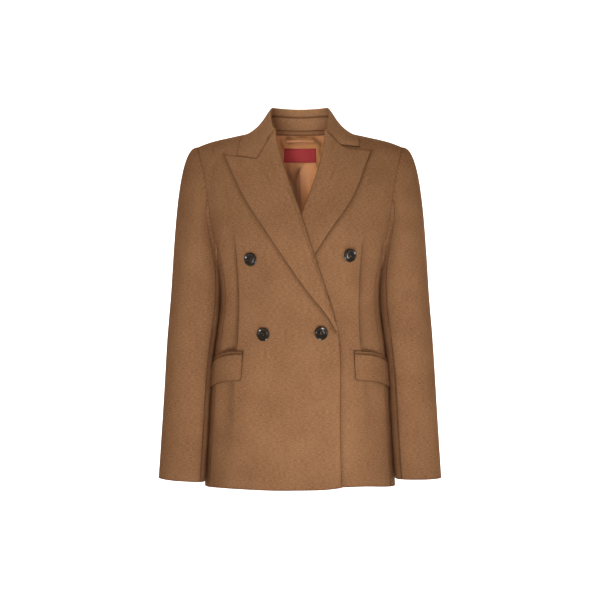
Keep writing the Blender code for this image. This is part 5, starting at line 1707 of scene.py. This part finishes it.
def polished_horn():
    """Buffalo horn, turned and polished: near black with brown streaks under a wet gloss."""
    made, tree, shader = start_material(
        "buffalo_horn_polished", 0.10, 0.28, {"Coat Weight": 0.75, "Coat Roughness": 0.04})
    objects = add_node(tree, "ShaderNodeTexCoord").outputs["Object"]
    grain = add_node(tree, "ShaderNodeMapping", {"Scale": (90.0, 90.0, 260.0),
                                                 "Rotation": (0.3, 0.2, 0.9)},
                     {"Vector": objects}).outputs["Vector"]
    streak = noise(tree, grain, 1.0, 4.0, 0.6, 0.8)
    colour = colour_ramp(tree, streak, linear("#130C08"), linear("#2E2115"), 0.46, 0.72)
    tree.links.new(colour, shader.inputs["Base Color"])
    polish = add_node(tree, "ShaderNodeMapRange", {"To Min": 0.07, "To Max": 0.15},
                      {"Value": streak})
    tree.links.new(polish.outputs["Result"], shader.inputs["Roughness"])
    return made


def spun_thread(name, dark, light):
    """Spun polyester thread, plied: dull with a short soft glint along its twist."""
    made, tree, shader = start_material(name, 0.7, 0.25, {"Sheen Weight": 0.2})
    objects = add_node(tree, "ShaderNodeTexCoord").outputs["Object"]
    colour = colour_ramp(tree, noise(tree, objects, 2500.0, 1.0), linear(dark), linear(light))
    tree.links.new(colour, shader.inputs["Base Color"])
    return made


def painted_floor():
    """Matt white emulsion on board: flat and even, with the faintest roller mottle."""
    made, tree, shader = start_material("emulsion_floor_matt", 0.9, 0.2)
    objects = add_node(tree, "ShaderNodeTexCoord").outputs["Object"]
    mottle = noise(tree, objects, 6.0, 3.0)
    colour = colour_ramp(tree, mottle, linear("#FAFAFA"), linear("#FFFFFF"))
    tree.links.new(colour, shader.inputs["Base Color"])
    return made


def finish_of(key):
    """The named material, made the first time it is asked for."""
    makers = {
        "wool_cloth": wool_twill,
        "satin_lining": lining_satin,
        "woven_label": woven_ribbon,
        "horn_button": polished_horn,
        "button_thread": lambda: spun_thread("polyester_thread_brown", "#3A281B", "#7C5B40"),
    }
    if key not in MATERIALS:
        MATERIALS[key] = makers[key]()
    return MATERIALS[key]


# ------------------------------------------------------------------ buttons and sewing

BUTTON_SIDES = 96
BUTTON_STEPS = 90
DISH_STEPS = 34
BUTTON_PROFILE = (
    (0.0000, 0.0002), (0.0060, 0.0001), (0.0092, 0.0004), (0.0112, 0.0011), (0.0122, 0.0020),
    (0.0125, 0.0028), (0.0123, 0.0036), (0.0117, 0.0042), (0.0109, 0.0044), (0.0101, 0.0041),
    (0.0094, 0.0036), (0.0084, 0.0032), (0.0070, 0.0029), (0.0050, 0.0027), (0.0000, 0.0027),
)
HOLE_SPACING = 0.0019
HOLE_RADIUS = 0.00105
HOLE_DEPTH = 0.0016
HOLE_LIP = 0.00025
DISH_RADIUS = 0.0055
DISH_CLEARANCE = 0.0001
THREAD_RADIUS = 0.00022
THREAD_SPREAD = 0.00028
THREAD_REACH = 1.02
THREAD_TOP = 0.0031
THREAD_DROP = 0.0022
THREAD_CROWN = 0.0002
THREAD_SIDES = 6
HOLE_THREAD_START = -0.0105
HOLE_THREAD_LENGTH = 0.0045
HOLE_THREAD_HALF_GAP = 0.0006
HOLE_THREAD_RISE = 0.0008
HOLE_THREAD_STAND = 0.00025
HOLE_THREAD_RADIUS = 0.0004
TUBE_STEADY = (0.31, -0.52, 0.79)
TUBE_END_POWER = 12
TUBE_END_LEAST = 0.0004


def button_frame(x, z, style):
    """Centre of a button's foot on its front and the matrix that turns +Z out of the cloth."""
    side = -1 if style == "top" else 1
    point = front_points(np.array([x]), np.array([z]))
    normal = outward(point)[0]
    lift = float(front_lift(point[0, 0], side, style)) + BUTTON_STAND
    turn = Vector(normal).to_track_quat("Z", "Y").to_matrix().to_4x4()
    return Matrix.Translation(Vector(point[0] + normal * lift)) @ turn


def placed(vertices, frame_matrix):
    """An array of points turned and moved by a matrix."""
    m = np.array(frame_matrix)
    return vertices @ m[:3, :3].T + m[:3, 3]


def make_button(name, x, z, style):
    """A turned button: its profile spun round, with four wells sunk into the dished middle.

    Height is the profile's, evenly stepped across the dish; within a hole's radius of one of four
    centres it falls by the depth of the well, over a short rounded lip. Only the upper side is
    sunk.
    """
    run = np.linspace(0, 1, BUTTON_STEPS)
    marks = np.linspace(0, 1, len(BUTTON_PROFILE))
    radius = np.clip(spline(marks, [p[0] for p in BUTTON_PROFILE], run), 0, None)
    height = spline(marks, [p[1] for p in BUTTON_PROFILE], run)
    radius[0] = radius[-1] = 0.0
    middle = int(np.argmax(radius))
    inner = np.linspace(DISH_RADIUS, 0.0, DISH_STEPS)
    beyond = radius[middle:] > DISH_RADIUS + DISH_CLEARANCE
    top_r = np.concatenate([radius[middle:][beyond], inner])
    top_h = np.interp(-top_r, -radius[middle:], height[middle:])
    radius = np.concatenate([radius[:middle], top_r])
    height = np.concatenate([height[:middle], top_h])
    is_top = np.arange(len(radius)) >= middle
    angle = np.linspace(0, 2 * np.pi, BUTTON_SIDES, endpoint=False)
    px = radius[1:-1, None] * np.cos(angle)
    py = radius[1:-1, None] * np.sin(angle)
    off = np.hypot(np.abs(px) - HOLE_SPACING, np.abs(py) - HOLE_SPACING)
    sunk = smooth_step((HOLE_RADIUS + HOLE_LIP - off) / (2 * HOLE_LIP)) * is_top[1:-1, None]
    pz = height[1:-1, None] - HOLE_DEPTH * sunk
    rings = np.stack([px, py, np.broadcast_to(pz, px.shape)], -1)
    ends = np.array([[0, 0, height[0]], [0, 0, height[-1]]])
    vertices = placed(np.concatenate([rings.reshape(-1, 3), ends]), button_frame(x, z, style))
    quads = grid_faces(rings.shape[0], BUTTON_SIDES, True)
    foot = np.arange(BUTTON_SIDES)
    last = foot + (rings.shape[0] - 1) * BUTTON_SIDES
    low, high = rings.size // 3, rings.size // 3 + 1
    faces = [tuple(q) for q in quads.tolist()]
    faces += [(low, int(b), int(a)) for a, b in zip(foot, np.roll(foot, -1))]
    faces += [(high, int(a), int(b)) for a, b in zip(last, np.roll(last, -1))]
    return turned_mesh(name, vertices, faces)


def turned_mesh(name, vertices, faces):
    """A smooth closed mesh from points and faces, turned so that its faces point out."""
    mesh = bpy.data.meshes.new(name)
    mesh.from_pydata(vertices.tolist(), [], faces)
    work = bmesh.new()
    work.from_mesh(mesh)
    bmesh.ops.recalc_face_normals(work, faces=work.faces)
    if work.calc_volume(signed=True) < 0:
        bmesh.ops.reverse_faces(work, faces=work.faces)
    work.to_mesh(mesh)
    work.free()
    mesh.shade_smooth()
    return add_object(name, mesh)


def tube(path, radius, sides):
    """Points and quads of a round tube along a path, its ends drawn in to close it.

    Each ring is a circle in the plane square to the path; the frame is carried from a fixed
    sideways direction, and the last rings shrink to a point.
    """
    path = np.asarray(path, float)
    run = np.gradient(path, axis=0)
    run /= np.linalg.norm(run, axis=1, keepdims=True)
    side = np.cross(run, np.array(TUBE_STEADY))
    side /= np.linalg.norm(side, axis=1, keepdims=True)
    up = np.cross(side, run)
    angle = np.linspace(0, 2 * np.pi, sides, endpoint=False)
    share = np.linspace(0, 1, len(path))
    end = np.sqrt(np.clip(1 - np.abs(share * 2 - 1) ** TUBE_END_POWER, TUBE_END_LEAST, 1))
    spread = (radius * end)[:, None, None]
    ring = (side[:, None] * np.cos(angle)[None, :, None]
            + up[:, None] * np.sin(angle)[None, :, None])
    points = path[:, None] + ring * spread
    count = points.shape[0] * sides
    quads = grid_faces(points.shape[0], sides, True)
    caps = [list(range(sides)), list(range(count - sides, count))[::-1]]
    return points.reshape(-1, 3), quads, caps


def join_tubes(name, paths, radius, sides):
    """One mesh of many thin tubes."""
    vertices, faces, base = [], [], 0
    for path in paths:
        points, quads, caps = tube(path, radius, sides)
        vertices.append(points)
        faces += (quads + base).tolist()
        faces += [[int(i) + base for i in cap] for cap in caps]
        base += len(points)
    return turned_mesh(name, np.concatenate(vertices), faces)


def make_button_threads():
    """Two bars of thread across each button, down through its wells, as a parallel sewing."""
    paths = []
    for _, x, z, style in BUTTON_PLACES:
        place = button_frame(x, z, style)
        share = np.linspace(-1, 1, 15)
        for row in (-1, 1):
            for strand in (-THREAD_SPREAD, 0.0, THREAD_SPREAD):
                across = share * HOLE_SPACING * THREAD_REACH
                up = THREAD_TOP - THREAD_DROP * np.abs(share) ** 6 + THREAD_CROWN * (strand == 0)
                beside = np.full_like(share, row * HOLE_SPACING + strand)
                paths.append(placed(np.stack([across, beside, up], -1), place))
    return join_tubes("button_threads", paths, THREAD_RADIUS, THREAD_SIDES)


def make_buttonhole():
    """The worked buttonhole's eye end, which shows beside the lower left button."""
    _, button_x, button_z, style = BUTTON_PLACES[-1]
    share = np.linspace(0, 1, 25)
    x = button_x + (HOLE_THREAD_START - HOLE_THREAD_LENGTH * share)
    paths = []
    for row in (-HOLE_THREAD_HALF_GAP, HOLE_THREAD_HALF_GAP):
        z = button_z + row * (1 - share ** 4) + HOLE_THREAD_RISE
        point = front_points(x, z)
        lift = front_lift(x, -1, style) + HOLE_THREAD_STAND
        paths.append(point + outward(point) * lift[:, None])
    return join_tubes("buttonhole_threads", paths, HOLE_THREAD_RADIUS, THREAD_SIDES)


# ------------------------------------------------------------------ adding pieces to the object

def add_piece(made, slot, nodes=()):
    """Give a piece the finish that its slot names and its body, and hide the imported parts of
    the nodes that it stands for.
    """
    made.data.materials.clear()
    made.data.materials.append(finish_of(slot))
    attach(made, "root")
    if nodes:
        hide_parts(*nodes)
    return made


# ------------------------------------------------------------------ settings

class BlazerSettings(bpy.types.PropertyGroup):
    """Sizes and colours that a user would change."""

    crease_depth: bpy.props.FloatProperty(
        name="Crease depth", description="Depth of the soft creases, as a share of the usual",
        default=1.0, min=0.0, max=2.0, subtype="FACTOR")
    cloth_dark: bpy.props.FloatVectorProperty(
        name="Cloth, dark fibre", description="Colour of the darker fibre in the wool",
        default=linear(CLOTH_DARK), size=4, min=0.0, max=1.0, subtype="COLOR")
    cloth_light: bpy.props.FloatVectorProperty(
        name="Cloth, light fibre", description="Colour of the lighter fibre in the wool",
        default=linear(CLOTH_LIGHT), size=4, min=0.0, max=1.0, subtype="COLOR")
    camera_distance: bpy.props.FloatProperty(
        name="Camera distance", description="Distance of the camera from the shoulder plane",
        default=3.2, min=1.0, max=10.0, unit="LENGTH")
    light_power: bpy.props.FloatProperty(
        name="Light power", description="Power of the main lamp",
        default=34.0, min=0.0, max=1000.0, unit="POWER")


def settings():
    """The blazer's settings on the current scene."""
    return bpy.context.scene.blazer


# ------------------------------------------------------------------ the pieces as operators

class BLAZER_OT_fronts(bpy.types.Operator):
    """Make both fronts, with their darts, pressed edges and hems."""

    bl_idname = "blazer.fronts"
    bl_label = "Fronts"

    def execute(self, context):
        for word in ("left", "right"):
            add_piece(make_front(word), "wool_cloth", ["front_" + word])
        return {"FINISHED"}


class BLAZER_OT_sides(bpy.types.Operator):
    """Make the two side panels."""

    bl_idname = "blazer.sides"
    bl_label = "Side panels"

    def execute(self, context):
        for word in ("left", "right"):
            add_piece(make_side(word), "wool_cloth", ["side_" + word])
        return {"FINISHED"}


class BLAZER_OT_backs(bpy.types.Operator):
    """Make the two halves of the back."""

    bl_idname = "blazer.backs"
    bl_label = "Backs"

    def execute(self, context):
        for word in ("left", "right"):
            add_piece(make_back(word), "wool_cloth", ["back_" + word])
        return {"FINISHED"}


class BLAZER_OT_sleeves(bpy.types.Operator):
    """Make the top and under sleeves, armhole to cuff."""

    bl_idname = "blazer.sleeves"
    bl_label = "Sleeves"

    def execute(self, context):
        for word in ("left", "right"):
            for part, flat, area in (("top_sleeve_", (0.245, 0.650), 0.126),
                                     ("under_sleeve_", (0.125, 0.540), 0.0475)):
                turns = sleeve_turns(part, word)
                made = make_sleeve_part(part + "cloth_" + word, word, turns)
                add_piece(made, "wool_cloth", [part + word])
        return {"FINISHED"}


class BLAZER_OT_lapels(bpy.types.Operator):
    """Make both lapels."""

    bl_idname = "blazer.lapels"
    bl_label = "Lapels"

    def execute(self, context):
        for word in ("left", "right"):
            add_piece(make_lapel(word), "wool_cloth", ["lapel_" + word])
        return {"FINISHED"}


class BLAZER_OT_collar(bpy.types.Operator):
    """Make the collar fall and the stand inside it."""

    bl_idname = "blazer.collar"
    bl_label = "Collar"

    def execute(self, context):
        add_piece(make_collar_fall(), "wool_cloth", ["collar_fall"])
        add_piece(make_collar_stand(), "wool_cloth", ["collar_stand"])
        return {"FINISHED"}


class BLAZER_OT_pockets(bpy.types.Operator):
    """Make the pocket flaps and their welts."""

    bl_idname = "blazer.pockets"
    bl_label = "Pockets"

    def execute(self, context):
        for word in ("left", "right"):
            add_piece(make_flap(word), "wool_cloth", ["pocket_flap_" + word])
            add_piece(make_welt(word), "wool_cloth", ["pocket_welt_" + word])
        return {"FINISHED"}


class BLAZER_OT_neck_inside(bpy.types.Operator):
    """Make the neck facing, back lining, bare label and hanger loop."""

    bl_idname = "blazer.neck_inside"
    bl_label = "Inside of the neck"

    def execute(self, context):
        add_piece(make_facing(), "wool_cloth", ["neck_facing"])
        add_piece(make_lining(), "satin_lining", ["back_lining"])
        add_piece(make_label(), "woven_label", ["neck_label"])
        add_piece(make_loop(), "satin_lining", ["hanger_loop"])
        return {"FINISHED"}


class BLAZER_OT_buttons(bpy.types.Operator):
    """Make the four horn buttons."""

    bl_idname = "blazer.buttons"
    bl_label = "Buttons"

    def execute(self, context):
        for name, x, z, style in BUTTON_PLACES:
            add_piece(make_button(name + "_horn", x, z, style), "horn_button", [name])
        return {"FINISHED"}


class BLAZER_OT_sewing(bpy.types.Operator):
    """Make the threads that hold the buttons, and the buttonhole."""

    bl_idname = "blazer.sewing"
    bl_label = "Sewing"

    def execute(self, context):
        add_piece(make_button_threads(), "button_thread")
        add_piece(make_buttonhole(), "button_thread")
        return {"FINISHED"}


# ------------------------------------------------------------------ stage

FLOOR_HEIGHT = -1.30
SWEEP_HALF_WIDTH = 5.0
SWEEP_FRONT = -4.6
FLOOR_END = 2.2
BEND_START = 2.4
BEND_RADIUS = 1.2
WALL_Y = 3.6
WALL_FOOT = 0.2
WALL_TOP = 4.0
ROOM_COLOUR = "#FFE9D2"
ROOM_STRENGTH = 0.33
CAMERA_HEIGHT = -0.332
CAMERA_LENS = 100.0
CAMERA_SENSOR = 36.0
# each lamp: name, place, target, size, share of the light power, spread in degrees
LAMPS = (
    ("lamp_front", (0.05, -1.35, -1.20), (0.0, 0.0, -0.41), 0.5, 0.046, 44.0),
    ("lamp_camera", (0.25, -3.4, -0.30), (0.0, 0.0, -0.30), 0.8, 0.16, 180.0),
    ("lamp_neck", (-0.40, -1.3, 0.55), (0.0, 0.04, 0.05), 0.3, 0.0078, 20.0),
    ("lamp_right", (1.6, -1.1, -0.45), (0.1, 0.0, -0.35), 0.6, 0.16, 180.0),
    ("lamp_left", (-1.6, -1.1, -0.45), (-0.1, 0.0, -0.35), 0.6, 0.08, 180.0),
    ("lamp_inside", (-0.04, -0.03, -0.48), (0.0, 0.07, -0.03), 0.10, 0.017, 180.0),
    ("lamp_wall_left", (-1.9, 1.2, 0.2), (-0.9, 3.6, -0.3), 1.8, 3.0, 180.0),
    ("lamp_wall_right", (1.9, 1.2, 0.2), (0.9, 3.6, -0.3), 1.8, 3.0, 180.0),
)


def make_stage():
    """A pale sweep: a level floor that curves up into a wall behind the garment."""
    across = np.linspace(-SWEEP_HALF_WIDTH, SWEEP_HALF_WIDTH, 21)
    angle = np.radians(np.linspace(0, 90, 17))
    bend_y = BEND_START + BEND_RADIUS * np.sin(angle)
    bend_z = FLOOR_HEIGHT + BEND_RADIUS - BEND_RADIUS * np.cos(angle)
    floor_y = np.linspace(SWEEP_FRONT, FLOOR_END, 12)
    wall_z = np.linspace(WALL_FOOT, WALL_TOP, 8)
    y = np.concatenate([floor_y, bend_y, np.full_like(wall_z, WALL_Y)])
    z = np.concatenate([np.full_like(floor_y, FLOOR_HEIGHT), bend_z, wall_z])
    grid = np.stack(np.broadcast_arrays(across, y[:, None], z[:, None]), -1)
    quads = grid_faces(len(y), len(across), False)
    floor = mesh_object("studio_sweep", grid.reshape(-1, 3), quads)
    floor.data.materials.append(painted_floor())
    return floor


def aim(made, target):
    """Turn a lamp or camera so that it looks at a point."""
    look = Vector(target) - made.location
    made.rotation_euler = look.to_track_quat("-Z", "Y").to_euler()


class BLAZER_OT_stage(bpy.types.Operator):
    """Make the pale sweep, the soft lamps, the room light and the camera."""

    bl_idname = "blazer.stage"
    bl_label = "Stage"

    def execute(self, context):
        make_stage()
        chosen = settings()
        for name, place, target, size, share, spread in LAMPS:
            lamp = bpy.data.lights.new(name, "AREA")
            lamp.shape = "DISK"
            lamp.size = size
            lamp.energy = chosen.light_power * share
            lamp.spread = math.radians(spread)
            made = add_object(name, lamp)
            made.location = place
            aim(made, target)
        world = bpy.data.worlds.new("studio_room")
        world.use_nodes = True
        room = world.node_tree.nodes["Background"]
        room.inputs["Color"].default_value = linear(ROOM_COLOUR)
        room.inputs["Strength"].default_value = ROOM_STRENGTH
        bpy.context.scene.world = world
        camera = add_object("camera", bpy.data.cameras.new("camera"))
        camera.data.lens = CAMERA_LENS
        camera.data.sensor_width = CAMERA_SENSOR
        camera.location = (0.0, -chosen.camera_distance, CAMERA_HEIGHT)
        camera.rotation_euler = (math.radians(90.0), 0.0, 0.0)
        bpy.context.scene.camera = camera
        bpy.context.scene.view_settings.view_transform = "Standard"
        return {"FINISHED"}


OPERATORS = (
    BLAZER_OT_fronts, BLAZER_OT_sides, BLAZER_OT_backs, BLAZER_OT_sleeves, BLAZER_OT_lapels,
    BLAZER_OT_collar, BLAZER_OT_pockets, BLAZER_OT_neck_inside, BLAZER_OT_buttons,
    BLAZER_OT_sewing, BLAZER_OT_stage,
)


class BLAZER_PT_pieces(bpy.types.Panel):
    """Lists the blazer's settings and one button for each group of pieces."""

    bl_idname = "BLAZER_PT_pieces"
    bl_label = "Double Breasted Blazer"
    bl_space_type = "VIEW_3D"
    bl_region_type = "UI"
    bl_category = "Blazer"

    def draw(self, context):
        """Draw the settings, then a button for each operator."""
        for name in BlazerSettings.__annotations__:
            self.layout.prop(context.scene.blazer, name)
        for operator in OPERATORS:
            self.layout.operator(operator.bl_idname)


CLASSES = (BlazerSettings, *OPERATORS, BLAZER_PT_pieces)


def register():
    """Register the classes and put the settings on the scene."""
    for made in CLASSES:
        bpy.utils.register_class(made)
    bpy.types.Scene.blazer = bpy.props.PointerProperty(type=BlazerSettings)


def unregister():
    """Take the settings and the classes away again."""
    del bpy.types.Scene.blazer
    for made in reversed(CLASSES):
        bpy.utils.unregister_class(made)


def main():
    register()
    for operator in OPERATORS:
        group, name = operator.bl_idname.split(".")
        getattr(getattr(bpy.ops, group), name)()


if __name__ == "__main__":
    main()
